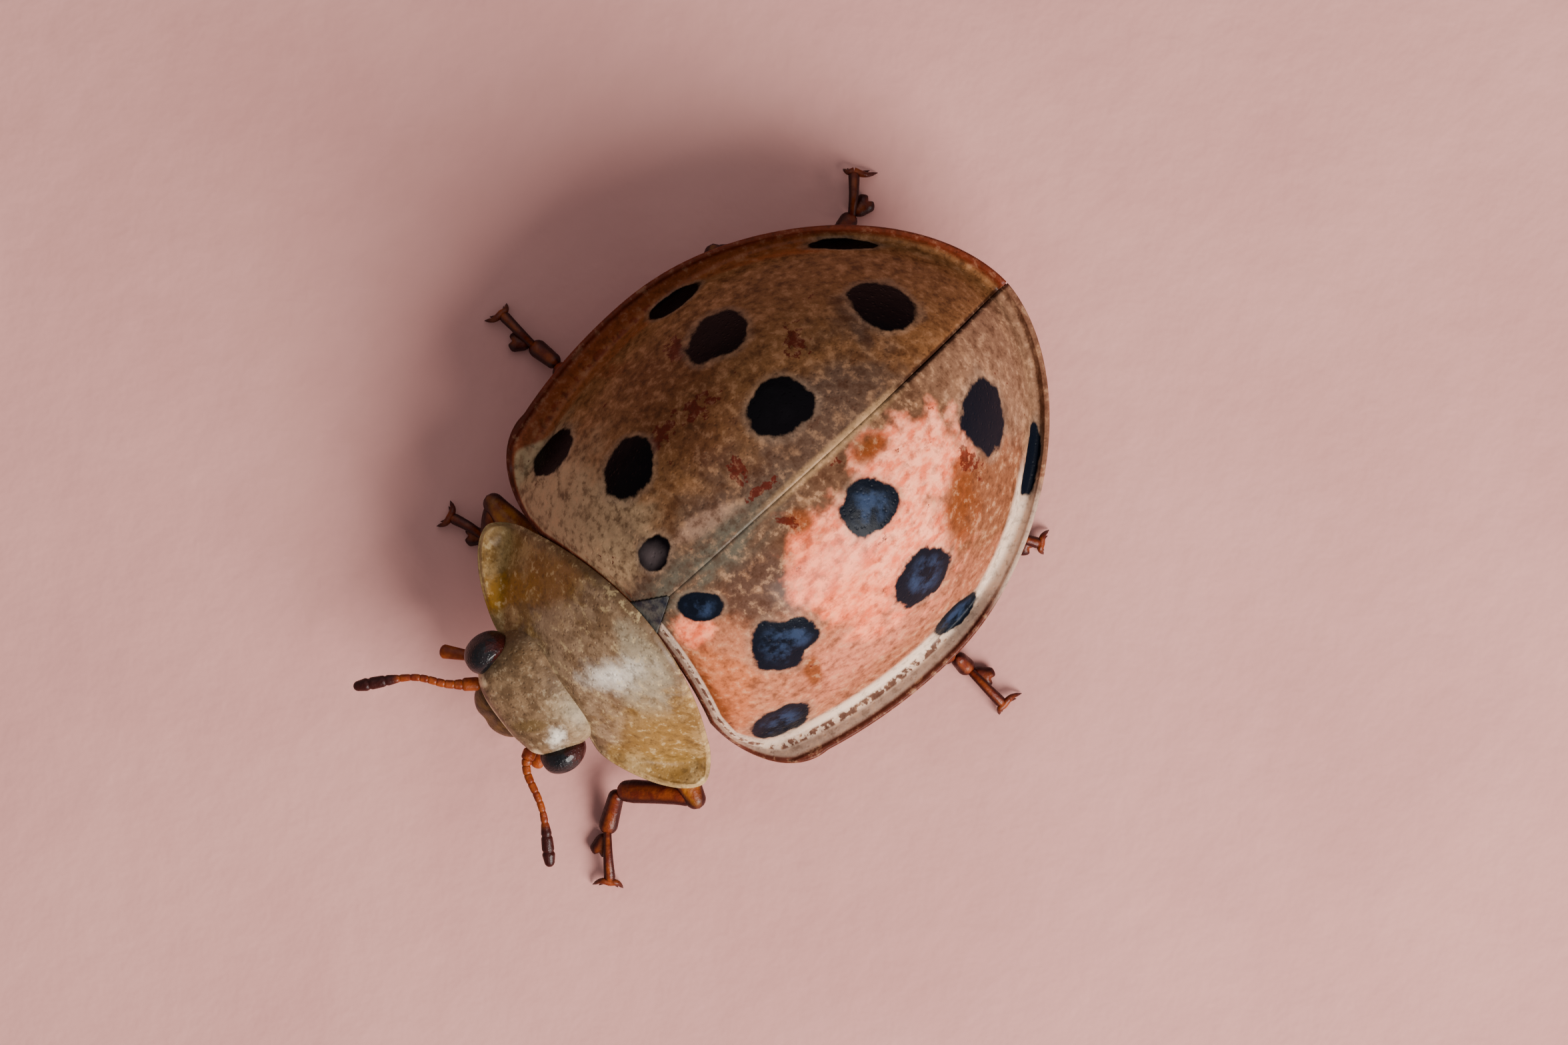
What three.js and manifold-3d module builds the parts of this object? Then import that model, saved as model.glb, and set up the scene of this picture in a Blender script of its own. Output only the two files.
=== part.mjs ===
// A ladybird standing still, at life size, with one solid for each plate, eye, feeler and leg segment.
// Millimetres, +Z up, head towards -Y, the animal's left on +X. While it is shaped, x = 0 is the seam
// between the elytra and y = 0 the front end of that seam; the finished group is centred on its footprint.
import * as THREE from "three";
import { mergeVertices } from "three/addons/utils/BufferGeometryUtils.js";
import Module from "manifold-3d";

const wasm = await Module();
wasm.setup();
const degrees = THREE.MathUtils.degToRad;
const vec = (x, y, z) => new THREE.Vector3(x, y, z);

// ---- driving dimensions ----
const HALF_WIDTH = 2.5; // one elytron, where it is widest
const APEX_Y = 5.1; // hind tip of the elytra
const CENTRE_Y = 1.9; // the widest and highest place of the dome
const FRONT_REACH = 3.7; // from there to where the dome would close in front
const TOP_Z = 3.5; // crown of the dome
const RIM_Z = 1.35; // level of the elytral margin
const BELLY_Z = 0.92; // lowest line of the underside
const SHELL = 0.5; // thickness of an elytron
const RIM_THICK = 0.3; // thickness of its flat margin
const GAP = 0.04; // clearance between neighbours
const LIMB_R = 0.25; // least radius of a leg segment
const FORE_TURN = degrees(-2); // the prothorax is turned a little to the right
const HEAD = { centre: vec(-0.13, -1.36, 1.44), turn: degrees(-5), roll: degrees(12), pitch: degrees(30) };

// ---- materials ----
const cuticle = (color, roughness) =>
  new THREE.MeshStandardMaterial({ color, roughness, metalness: 0 });
const colours = {
  elytron: () => cuticle(0xb06a3a, 0.35),
  pronotum: () => cuticle(0xa9804c, 0.4),
  head: () => cuticle(0xa08462, 0.45),
  scutellum: () => cuticle(0x37302f, 0.4),
  eye: () => cuticle(0x130d0d, 0.25),
  leg: () => cuticle(0x8a4212, 0.4),
  feeler: () => cuticle(0x7a3018, 0.45),
  underside: () => cuticle(0x9a6a3c, 0.5),
};

// ---- helpers ----
const mix = (a, b, t) => a + (b - a) * t;
const smoothMin = (a, b, k) => (a + b - Math.hypot(a - b, k)) / 2;
const smoothMax = (a, b, k) => (a + b + Math.hypot(a - b, k)) / 2;
function smoothStep(from, to, value) {
  const t = THREE.MathUtils.clamp((value - from) / (to - from), 0, 1);
  return t * t * (3 - 2 * t);
}

// A closed geometry as a solid, without the triangles that have collapsed.
function solidOf(geometry) {
  const bare = new THREE.BufferGeometry();
  bare.setAttribute("position", geometry.getAttribute("position"));
  if (geometry.index) bare.setIndex(geometry.index);
  const merged = mergeVertices(bare, 1e-3);
  const corners = merged.index.array;
  const kept = [];
  for (let i = 0; i < corners.length; i += 3) {
    const [a, b, c] = corners.slice(i, i + 3);
    if (a !== b && b !== c && a !== c) kept.push(a, b, c);
  }
  const made = (triVerts) =>
    new wasm.Manifold(
      new wasm.Mesh({
        numProp: 3,
        vertProperties: new Float32Array(merged.attributes.position.array),
        triVerts: new Uint32Array(triVerts),
      }),
    );
  const solid = made(kept);
  return solid.volume() > 0 ? solid : made(kept.reverse());
}

function geometryOf(solid) {
  const { vertProperties, triVerts } = solid.getMesh();
  const geometry = new THREE.BufferGeometry();
  geometry.setAttribute("position", new THREE.BufferAttribute(vertProperties, 3));
  geometry.setIndex(new THREE.BufferAttribute(triVerts, 1));
  geometry.computeVertexNormals();
  return geometry;
}

// Moves each vertex of a geometry to place(x, y, z).
function warped(geometry, place) {
  const points = geometry.getAttribute("position");
  for (let i = 0; i < points.count; i++) {
    points.setXYZ(i, ...place(points.getX(i), points.getY(i), points.getZ(i)));
  }
  return geometry;
}

// How far a ray from centre runs at an angle before inside(x, y) turns negative.
function rayReach(centre, angle, inside) {
  let near = 0;
  let far = 8;
  for (let i = 0; i < 40; i++) {
    const r = (near + far) / 2;
    const stays = inside(centre[0] + r * Math.cos(angle), centre[1] + r * Math.sin(angle)) > 0;
    if (stays) near = r;
    else far = r;
  }
  return near;
}

// A plate over a star-shaped region, in rings from its middle out over the top and back underneath.
function plate({ centre, inside, top, bottom, sides, bands }) {
  const rows = 2 * bands + 1;
  const reaches = new Map();
  const reachAt = (angle) => {
    const key = angle.toFixed(4);
    if (!reaches.has(key)) reaches.set(key, rayReach(centre, angle, inside));
    return reaches.get(key);
  };
  const ball = warped(new THREE.SphereGeometry(1, sides, rows), (x, y, z) => {
    const row = Math.round((Math.acos(THREE.MathUtils.clamp(y, -1, 1)) / Math.PI) * rows);
    const share = Math.sin((Math.min(row, rows - row) / bands) * (Math.PI / 2));
    const angle = Math.atan2(z, x);
    const px = centre[0] + share * reachAt(angle) * Math.cos(angle);
    const py = centre[1] + share * reachAt(angle) * Math.sin(angle);
    return [px, py, row <= bands ? top(px, py) : bottom(px, py)];
  });
  return solidOf(ball);
}

// A slab over a four-sided region, at(u, v) giving its places for u from -1 to 1 and v from 0 to 1.
function slab({ at, top, bottom, columns, rows }) {
  const box = warped(new THREE.BoxGeometry(2, 1, 1, columns, rows, 1), (u, v, w) => {
    const [x, y] = at(u, v + 0.5);
    return [x, y, w > 0 ? top(x, y) : bottom(x, y)];
  });
  return solidOf(box);
}

// A round limb segment between the centres of its two end balls, swelling to `middle` between them.
function limb(from, to, [start, middle, end], grow = 0, sides = 8) {
  const length = from.distanceTo(to);
  const profile = [];
  const ring = (radius, height) => profile.push(new THREE.Vector2(radius, height));
  for (const a of [90, 45, 0]) {
    ring((start + grow) * Math.cos(degrees(a)), -(start + grow) * Math.sin(degrees(a)));
  }
  ring(middle + grow, length / 2);
  for (const a of [0, 45, 90]) {
    ring((end + grow) * Math.cos(degrees(a)), length + (end + grow) * Math.sin(degrees(a)));
  }
  const along = to.clone().sub(from).normalize();
  const side = new THREE.Vector3().crossVectors(along, vec(0, 0, 1)).normalize();
  const up = new THREE.Vector3().crossVectors(side, along);
  const frame = new THREE.Matrix4().makeBasis(side, along, up).setPosition(from);
  return solidOf(new THREE.LatheGeometry(profile, sides).applyMatrix4(frame));
}

function ellipsoid(radii, centre, grow = 0, sides = 12) {
  const ball = new THREE.SphereGeometry(1, sides, Math.round(sides * 0.66));
  ball.scale(radii.x + grow, radii.y + grow, radii.z + grow);
  return solidOf(ball.translate(centre.x, centre.y, centre.z));
}

const moved = (solid, matrix) => solid.transform(matrix.elements);
const union = (solids) => wasm.Manifold.union(solids);

// An upright drum through the body, with its hind edge crossing the seam line at y.
const DRUM_R = 7;
function drum(y, lowest, highest) {
  const cylinder = new THREE.CylinderGeometry(DRUM_R, DRUM_R, highest - lowest, 120);
  cylinder.rotateX(Math.PI / 2).translate(0, y - DRUM_R, (lowest + highest) / 2);
  return solidOf(cylinder);
}

// ---- the dome that the elytra and the pronotum share ----
// 0 at the dome's centre and 1 on its outer edge.
const edgePower = (along) => 2.05 - 0.25 * Math.tanh(Math.max(0, along) / 1.2);
const edgeLength = (along) => (along < 0 ? FRONT_REACH : APEX_Y - CENTRE_Y);
function edgeShare(x, y) {
  const along = y - CENTRE_Y;
  const power = edgePower(along);
  const sum = (Math.abs(x) / HALF_WIDTH) ** power + (Math.abs(along) / edgeLength(along)) ** power;
  return sum ** (1 / power);
}

const rimHeight = (y) => RIM_Z + 0.06 * ((y - 2.6) / 2.6) ** 2;

// 1 at the crown, 0 where the dome meets the flat margin, and negative beyond.
function domeShare(x, y, foot) {
  const s = edgeShare(x, y) / foot;
  const roundness = 0.45 + 0.3 * smoothStep(1.2, -0.8, y);
  return 1 - roundness * s ** 2 - (1 - roundness) * s ** 4;
}

// The flat margin is broad at the shoulder and narrow at the tip, and its edge is turned up.
function domeTop(x, y) {
  const foot = mix(0.89, 0.955, smoothStep(1, 4.6, y));
  const margin = 0.02 + 0.04 * smoothStep(0.94, 1, edgeShare(x, y));
  return rimHeight(y) + smoothMax((TOP_Z - RIM_Z) * domeShare(x, y, foot), margin, 0.06);
}

// The inside of the shell comes down to the flat underside of the margin nearer the edge at the tip.
const innerFoot = (y) => mix(0.76, 0.86, smoothStep(1.5, 5, y));
function domeInside(x, y, clearance = 0) {
  const rise = TOP_Z - SHELL - clearance - RIM_Z + RIM_THICK;
  const share = domeShare(x, y, innerFoot(y) - clearance / HALF_WIDTH);
  return rimHeight(y) - RIM_THICK + Math.max(0, rise * share);
}

// ---- elytra and scutellum ----
const SHOULDER = { x: 1.32, y: -0.2, back: 0.5 }; // the corner turns from here to the side margin at `back`
const baseY = (x) => SHOULDER.y * Math.min(1, Math.abs(x) / SHOULDER.x) ** 2;

function halfWidthAt(y) {
  const along = y - CENTRE_Y;
  const power = edgePower(along);
  return HALF_WIDTH * (1 - (Math.abs(along) / edgeLength(along)) ** power) ** (1 / power);
}

// The base rolls down in front, behind the pronotum.
const BASE_ROLL = { deep: 0.14, long: 0.3 };
function elytralTop(x, y) {
  const near = Math.max(0, 1 - (y - baseY(x)) / BASE_ROLL.long);
  return domeTop(x, y) - BASE_ROLL.deep * near ** 2;
}

function elytralSlab() {
  const at = (u, v) => {
    const across = 1 - ((1 - u) / 2) ** 1.4;
    const front = SHOULDER.y * across ** 2;
    const y = mix(front, APEX_Y, (1 - Math.cos(Math.PI * v)) / 2);
    const turn = Math.min(1, (y - front) / (SHOULDER.back - front));
    const reach = mix(SHOULDER.x, halfWidthAt(Math.max(y, SHOULDER.back)), Math.sqrt(turn * (2 - turn)));
    return [across * reach, y];
  };
  const under = (x, y) => rimHeight(y) - RIM_THICK;
  return slab({ at, top: elytralTop, bottom: under, columns: 12, rows: 20 });
}

function domeCavity() {
  return plate({
    centre: [0, CENTRE_Y],
    inside: (x, y) => innerFoot(y) - edgeShare(x, y),
    top: domeInside,
    bottom: () => 0,
    sides: 32,
    bands: 5,
  });
}

const leftElytron = () =>
  elytralSlab().subtract(domeCavity()).translate([GAP / 2, 0, 0]).subtract(scutellum(GAP));

const SCUTELLUM = { half: 0.22, long: 0.36 };
function scutellum(grow = 0) {
  const inside = (x, y) =>
    Math.min(y + grow, (SCUTELLUM.long - y - (Math.abs(x) * SCUTELLUM.long) / SCUTELLUM.half) / 1.9 + grow);
  return plate({
    centre: [0, 0.1],
    inside,
    top: (x, y) => domeTop(x, y) + 0.02 + 8 * grow,
    bottom: (x, y) => domeTop(x, y) - SHELL - 8 * grow,
    sides: 12,
    bands: 2,
  });
}

// ---- pronotum and prothorax ----
const PRONOTUM = { half: 1.73, y: -0.62 }; // widest at y
const foreTurn = new THREE.Matrix4().makeRotationZ(FORE_TURN).setPosition(0.02, 0, 0);
const roundedOff = (x, power) => (1 - Math.min(1, Math.abs(x) / PRONOTUM.half) ** power) ** (1 / power);
const edgeWithin = (bow, lobe) => Math.max(0, smoothMin(bow, lobe, 0.06));
const pronotumBase = (x) =>
  PRONOTUM.y + edgeWithin(0.585 - 0.15 * Math.min(1.4, Math.abs(x)) ** 2, 0.7 * roundedOff(x, 1.6));
const pronotumFront = (x) => PRONOTUM.y - edgeWithin(0.52 + 0.19 * x * x, 0.76 * roundedOff(x, 1.7));

// Its width and its front and base edges, drawn in by `inset` all round.
function foreSlab({ inset, top, bottom, columns, rows }) {
  const at = (u, v) => {
    const x = PRONOTUM.half * Math.sin((u * Math.PI) / 2);
    const y = mix(pronotumFront(x) + inset, pronotumBase(x) - inset, v);
    return [x * (1 - inset / PRONOTUM.half), y];
  };
  return moved(slab({ at, top, bottom, columns, rows }), foreTurn);
}

// The plate is thickest over the prothorax and thins towards its edges.
function pronotumUnder(x, y) {
  const inwards = Math.min(y - pronotumFront(x), pronotumBase(x) - y, PRONOTUM.half - Math.abs(x));
  return domeTop(x, y) - mix(0.18, 0.32, smoothStep(0, 0.4, inwards));
}

const pronotum = (grow = 0) =>
  foreSlab({
    inset: -grow,
    top: (x, y) => domeTop(x, y) + 4 * grow,
    bottom: (x, y) => pronotumUnder(x, y) - grow,
    columns: 24,
    rows: 6,
  });

const PROTHORAX_HALF = 1.25;
function prothorax(coxae) {
  const at = (u, v) => {
    const x = PROTHORAX_HALF * Math.sin((u * Math.PI) / 2);
    const drawnIn = (x / PROTHORAX_HALF) ** 2;
    return [x, mix(-1 + 0.3 * drawnIn, -0.1 - 0.22 * drawnIn, v)];
  };
  const solid = slab({
    at,
    top: (x, y) => pronotumUnder(x, y) - 2.5 * GAP,
    bottom: (x) => BELLY_Z + 0.06 + 0.06 * (x / PROTHORAX_HALF) ** 2,
    columns: 12,
    rows: 4,
  });
  return moved(solid, foreTurn).subtract(headCapsule(GAP)).subtract(coxae);
}

// ---- thorax and abdomen, which fill the elytra and close them underneath ----
const WAIST_Y = 2.15;
const bodyShare = (y) => innerFoot(y) - 0.045;
const insideBody = (x, y) => (bodyShare(y) - edgeShare(x, y)) * HALF_WIDTH;
function bellyHeight(x, y) {
  const s = THREE.MathUtils.clamp(edgeShare(x, y) / bodyShare(y), 0, 1);
  return mix(BELLY_Z, rimHeight(y) - RIM_THICK - 0.02, s ** 2.6);
}

function hindBody() {
  return plate({
    centre: [0, CENTRE_Y],
    inside: (x, y) => smoothMin(insideBody(x, y), y - baseY(x) - GAP, 0.1),
    top: (x, y) => domeInside(x, y, 0.09),
    bottom: bellyHeight,
    sides: 30,
    bands: 5,
  });
}

const thorax = (coxae) => hindBody().intersect(drum(WAIST_Y - GAP, 0, TOP_Z)).subtract(coxae);

// The furrows between the plates of the abdomen fade out towards its sides.
function abdomen(coxae) {
  const furrow = (y) => drum(y + 0.06, 0, BELLY_Z + 0.07).subtract(drum(y, 0, TOP_Z));
  const furrows = [2.8, 3.22, 3.6, 3.94, 4.24].map(furrow);
  return hindBody().subtract(union([drum(WAIST_Y, 0, TOP_Z), ...furrows, coxae]));
}

// ---- head, eyes and mouthparts, in the head's own frame and then placed ----
const headFrame = new THREE.Matrix4()
  .setPosition(HEAD.centre)
  .multiply(new THREE.Matrix4().makeRotationZ(HEAD.turn))
  .multiply(new THREE.Matrix4().makeRotationY(HEAD.roll))
  .multiply(new THREE.Matrix4().makeRotationX(HEAD.pitch));
const HEAD_RADII = vec(0.7, 0.6, 0.43);
const HEAD_FRONT = 0.67; // how far it reaches in front of its centre, as a share of its radius
const squareness = (a, b, power) =>
  Math.hypot(a, b) / Math.max(1e-9, (Math.abs(a) ** power + Math.abs(b) ** power) ** (1 / power));

// Squarer than a ball, flat in front and drawn in a little to the muzzle.
function headCapsule(grow = 0) {
  const box = warped(new THREE.SphereGeometry(1, 18, 10), (x, y, z) => {
    const upright = squareness(Math.hypot(x, y), z, 2.5);
    const level = upright * squareness(x, y, 3);
    const muzzle = 1 - 0.14 * smoothStep(0.1, 1, -y);
    const reach = y < 0 ? HEAD_RADII.y * HEAD_FRONT : HEAD_RADII.y;
    const width = level * muzzle * (HEAD_RADII.x + grow);
    return [x * width, y * level * (reach + grow), z * upright * (HEAD_RADII.z + grow)];
  });
  return moved(solidOf(box), headFrame);
}

const eye = (side, grow = 0) =>
  moved(ellipsoid(vec(0.2, 0.26, 0.26), vec(side * 0.67, -0.08, 0.13), grow, 12), headFrame);
const eyes = (grow) => union([eye(-1, grow), eye(1, grow)]);
const head = () => headCapsule().subtract(eyes(GAP)).subtract(pronotum(1.5 * GAP));
const lip = (grow = 0) => moved(ellipsoid(vec(0.36, 0.2, 0.2), vec(0, -0.56, -0.2), grow, 10), headFrame);
const labrum = () => lip().subtract(headCapsule(GAP));

// ---- feelers: each runs through its points and narrows only at the root ----
const ANTENNAE = {
  left: [vec(0.27, -1.76, 1.2), vec(0.42, -1.96, 1.22), vec(0.84, -2.12, 1.22), vec(1.15, -2.33, 1.15)],
  right: [vec(-0.56, -1.7, 1.22), vec(-0.79, -1.96, 1.24), vec(-1.1, -2.2, 1.22), vec(-1.31, -2.53, 1.13)],
};
const PALPS = {
  left: [vec(0.12, -1.36, 0.9), vec(0.34, -1.5, 0.74), vec(0.42, -1.74, 0.64)],
  right: [vec(-0.38, -1.36, 0.92), vec(-0.66, -1.46, 0.74), vec(-0.96, -1.7, 0.7)],
};

function feeler(points, radius, sides) {
  const lengths = points.slice(1).map((to, i) => limb(points[i], to, [radius, radius, radius], 0, sides));
  return union(lengths).subtract(union([headCapsule(GAP), eyes(GAP), lip(GAP)]));
}
const antenna = (side) => feeler(ANTENNAE[side], 0.25, 8);
const palp = (side) => feeler(PALPS[side], 0.22, 6);

// ---- legs ----
const LEGS = {
  left_front: {
    coxa: vec(0.44, -0.42, 0.84),
    knee: vec(1.75, -0.72, 0.78),
    ankle: vec(1.22, -1.32, 0.3),
    pad: vec(1.52, -1.78, 0.21),
    claws: [vec(1.78, -2.15, 0.17), vec(1.9, -2.0, 0.17)],
  },
  right_front: {
    coxa: vec(-0.4, -0.36, 0.84),
    knee: vec(-1.77, -0.28, 0.76),
    ankle: vec(-1.14, -0.98, 0.3),
    pad: vec(-1.66, -0.8, 0.21),
    claws: [vec(-1.94, -0.86, 0.17), vec(-2.02, -0.7, 0.17)],
  },
  left_middle: {
    coxa: vec(0.5, 0.75, 0.84),
    knee: vec(1.55, 1.5, 0.71),
    ankle: vec(2.35, 2.1, 0.3),
    pad: vec(2.9, 2.24, 0.21),
    claws: [vec(3.27, 2.14, 0.17), vec(3.2, 2.3, 0.17)],
  },
  right_middle: {
    coxa: vec(-0.5, 0.75, 0.84),
    knee: vec(-1.68, 0.88, 0.73),
    ankle: vec(-2.54, 1.0, 0.3),
    pad: vec(-2.92, 0.92, 0.21),
    claws: [vec(-3.18, 0.87, 0.17), vec(-3.2, 1.04, 0.17)],
  },
  left_hind: {
    coxa: vec(0.6, 1.98, 0.84),
    knee: vec(1.9, 2.85, 0.73),
    ankle: vec(1.25, 3.7, 0.3),
    pad: vec(1.8, 3.62, 0.21),
    claws: [vec(2.14, 3.64, 0.17), vec(2.2, 3.5, 0.17)],
  },
  right_hind: {
    coxa: vec(-0.6, 1.98, 0.84),
    knee: vec(-2.2, 3.1, 0.73),
    ankle: vec(-1.4, 4.14, 0.3),
    pad: vec(-1.52, 4.52, 0.21),
    claws: [vec(-1.82, 4.72, 0.17), vec(-1.66, 4.8, 0.17)],
  },
};

const coxa = ({ coxa: at }, grow = 0) => ellipsoid(vec(0.32, 0.27, 0.28), at, grow, 8);
const coxae = () => union(Object.values(LEGS).map((leg) => coxa(leg, GAP)));
function femurShape({ coxa: root, knee }, grow = 0) {
  const start = root.clone().lerp(knee, 0.22).setZ(root.z - 0.25);
  return limb(start, knee, [LIMB_R, LIMB_R + 0.03, LIMB_R], grow);
}
const femur = (leg) => femurShape(leg).subtract(coxa(leg, GAP));
const tibiaShape = ({ knee, ankle }, grow = 0) => limb(knee, ankle, [LIMB_R, LIMB_R, LIMB_R], grow);
const tibia = (leg) => tibiaShape(leg).subtract(femurShape(leg, GAP));

// The foot stands on a flat sole, and its two claws make a short fork.
function tarsus(leg) {
  const claw = (tip) => limb(leg.pad, tip, [0.2, 0.16, 0.12], 0, 5);
  const foot = union([limb(leg.ankle, leg.pad, [0.22, LIMB_R, LIMB_R]), ...leg.claws.map(claw)]);
  return foot.trimByPlane([0, 0, 1], 0).subtract(tibiaShape(leg, GAP));
}

// ---- assembly ----
const beetle = new THREE.Group();
beetle.name = "ladybird";
function add(name, solid, material) {
  const mesh = new THREE.Mesh(geometryOf(solid.simplify(0.005)), material());
  mesh.name = name;
  beetle.add(mesh);
}

const mirror = (solid) => solid.scale([-1, 1, 1]);
const sockets = coxae();
add("head", head(), colours.head);
add("labrum", labrum(), colours.head);
add("pronotum", pronotum(), colours.pronotum);
add("prothorax", prothorax(sockets), colours.underside);
add("scutellum", scutellum(), colours.scutellum);
add("elytron_left", leftElytron(), colours.elytron);
add("elytron_right", mirror(leftElytron()), colours.elytron);
add("thorax", thorax(sockets), colours.underside);
add("abdomen", abdomen(sockets), colours.underside);
for (const [side, sign] of [["left", 1], ["right", -1]]) {
  add(`eye_${side}`, eye(sign), colours.eye);
  add(`antenna_${side}`, antenna(side), colours.feeler);
  add(`palp_${side}`, palp(side), colours.feeler);
}
for (const [name, leg] of Object.entries(LEGS)) {
  add(`coxa_${name}`, coxa(leg), colours.leg);
  add(`femur_${name}`, femur(leg), colours.leg);
  add(`tibia_${name}`, tibia(leg), colours.leg);
  add(`tarsus_${name}`, tarsus(leg), colours.leg);
}

const bounds = new THREE.Box3().setFromObject(beetle);
const middle = bounds.getCenter(vec(0, 0, 0));
for (const mesh of beetle.children) mesh.geometry.translate(-middle.x, -middle.y, -bounds.min.z);

export default beetle;
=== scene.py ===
# A spotted ladybird at life size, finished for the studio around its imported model.
# Shapes are worked out in millimetres in the beetle's own frame: x = 0 is the seam between the elytra,
# y = 0 the front end of that seam, z = 0 the floor, the head towards -Y and the animal's left on +X.
import math

import bmesh
import bpy
import numpy as np
from mathutils import Matrix, Vector

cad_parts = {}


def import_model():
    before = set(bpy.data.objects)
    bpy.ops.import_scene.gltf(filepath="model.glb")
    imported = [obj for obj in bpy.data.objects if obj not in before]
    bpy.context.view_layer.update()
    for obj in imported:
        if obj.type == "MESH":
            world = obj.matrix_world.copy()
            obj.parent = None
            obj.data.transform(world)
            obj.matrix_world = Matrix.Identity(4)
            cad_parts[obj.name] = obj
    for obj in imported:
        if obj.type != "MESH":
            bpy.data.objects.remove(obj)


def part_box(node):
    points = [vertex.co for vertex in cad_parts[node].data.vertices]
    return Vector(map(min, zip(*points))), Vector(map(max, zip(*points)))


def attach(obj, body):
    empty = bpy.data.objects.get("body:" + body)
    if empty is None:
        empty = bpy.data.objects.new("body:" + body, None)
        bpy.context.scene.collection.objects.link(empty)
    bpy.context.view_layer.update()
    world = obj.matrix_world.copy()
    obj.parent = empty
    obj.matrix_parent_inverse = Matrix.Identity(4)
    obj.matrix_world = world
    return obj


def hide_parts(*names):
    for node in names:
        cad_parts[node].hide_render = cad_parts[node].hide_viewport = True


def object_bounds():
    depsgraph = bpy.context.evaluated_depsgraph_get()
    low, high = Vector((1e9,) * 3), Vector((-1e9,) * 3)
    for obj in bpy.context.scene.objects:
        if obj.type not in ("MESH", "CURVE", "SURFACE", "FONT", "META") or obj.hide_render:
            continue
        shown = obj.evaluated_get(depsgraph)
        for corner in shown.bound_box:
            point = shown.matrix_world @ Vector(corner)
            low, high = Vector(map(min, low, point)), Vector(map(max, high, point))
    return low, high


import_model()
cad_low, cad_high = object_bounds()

MM = 0.001
GAP = 0.04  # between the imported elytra
SAME_PLACE = 2e-7  # metres, nearer than which two points of a mesh are one

# ---- the dome, its width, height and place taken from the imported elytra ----
left_low, left_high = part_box("elytron_left")
right_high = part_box("elytron_right")[1]
SEAM_X = (left_low.x + right_high.x) / 2
HALF_WIDTH = (left_high.x - SEAM_X) / MM - GAP / 2
APEX_Y = 5.1  # hind tip of the elytra, behind the front of the seam
TOP_Z = max(left_high.z, right_high.z) / MM
ORIGIN = np.array([SEAM_X, left_high.y - APEX_Y * MM, cad_low.z])
CENTRE_Y = 1.9  # the widest and highest place of the dome
FRONT_REACH = 3.7  # from there to where the dome would close in front
RIM_Z = 1.35  # level of the elytral margin
RIM_THICK = 0.3  # depth of the fold under that margin
BELLY_Z = 0.92  # lowest line of the underside
SHELL = 0.5  # thickness of the elytra at the crown
SHOULDER = {"x": 1.32, "y": -0.2, "back": 0.5}
SCUTELLUM = {"half": 0.22, "long": 0.36}
PRONOTUM = {"half": 1.73, "y": -0.62, "turn": math.radians(-2), "shift": 0.02}
HEAD = {"centre": (-0.13, -1.36, 1.44), "turn": -5, "roll": 12, "pitch": 30}  # degrees
HEAD_RADII = np.array([0.7, 0.6, 0.43])
HEAD_FRONT = 0.71  # how far the head reaches in front of its centre, as a share of its radius


# ---- small functions ----
def mix(a, b, t):
    return a + (b - a) * t


def ramp(low, high, value):
    """Runs smoothly from 0 to 1 as value goes from low to high."""
    t = np.clip((value - low) / (high - low), 0, 1)
    return t * t * (3 - 2 * t)


def smooth_min(a, b, k):
    return (a + b - np.hypot(a - b, k)) / 2


def smooth_max(a, b, k):
    return (a + b + np.hypot(a - b, k)) / 2


def hump(distance, width):
    return np.exp(-((distance / width) ** 2))


def unit(vector):
    return vector / np.maximum(np.linalg.norm(vector, axis=-1, keepdims=True), 1e-9)


def spun(points, angle, axis="Z"):
    return points @ np.array(Matrix.Rotation(angle, 3, axis).transposed())


# ---- the dome that the elytra and the pronotum share ----
def edge_power(along):
    return 2.05 - 0.25 * np.tanh(np.maximum(0, along) / 1.2)


def edge_length(along):
    return np.where(along < 0, FRONT_REACH, APEX_Y - CENTRE_Y)


def edge_share(x, y):
    """0 at the dome's centre and 1 on its outer edge."""
    along = y - CENTRE_Y
    power = edge_power(along)
    total = (np.abs(x) / HALF_WIDTH) ** power + (np.abs(along) / edge_length(along)) ** power
    return total ** (1 / power)


def rim_height(y):
    return RIM_Z + 0.06 * ((y - 2.6) / 2.6) ** 2


def dome_share(x, y, foot):
    """1 at the crown and 0 where the dome meets the flat margin."""
    s = edge_share(x, y) / foot
    roundness = 0.45 + 0.3 * ramp(1.2, -0.8, y)
    return 1 - roundness * s**2 - (1 - roundness) * s**4


def foot_share(y):
    """Where the outside of the dome meets the margin, as a share of the way to the outer edge."""
    return mix(0.89, 0.955, ramp(1, 4.6, y))


def dome_top(x, y):
    margin = 0.02 + 0.04 * ramp(0.94, 1, edge_share(x, y))
    return rim_height(y) + smooth_max((TOP_Z - RIM_Z) * dome_share(x, y, foot_share(y)), margin, 0.06)


def inner_foot(y):
    """Where the inside of the dome meets the fold, as such a share."""
    return mix(0.76, 0.86, ramp(1.5, 5, y))


def dome_inside(x, y, clearance=0.0):
    rise = TOP_Z - SHELL - clearance - RIM_Z + RIM_THICK
    share = dome_share(x, y, inner_foot(y) - clearance / HALF_WIDTH)
    return rim_height(y) - RIM_THICK + np.maximum(0, rise * share)


def base_y(x):
    """The front edge of the elytra."""
    return SHOULDER["y"] * np.minimum(1, np.abs(x) / SHOULDER["x"]) ** 2


def half_width_at(y, share=1.0):
    along = y - CENTRE_Y
    power = edge_power(along)
    rest = share**power - (np.abs(along) / edge_length(along)) ** power
    return HALF_WIDTH * np.maximum(0, rest) ** (1 / power)


# ---- meshes ----
def link(thing):
    bpy.context.scene.collection.objects.link(thing)


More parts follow.
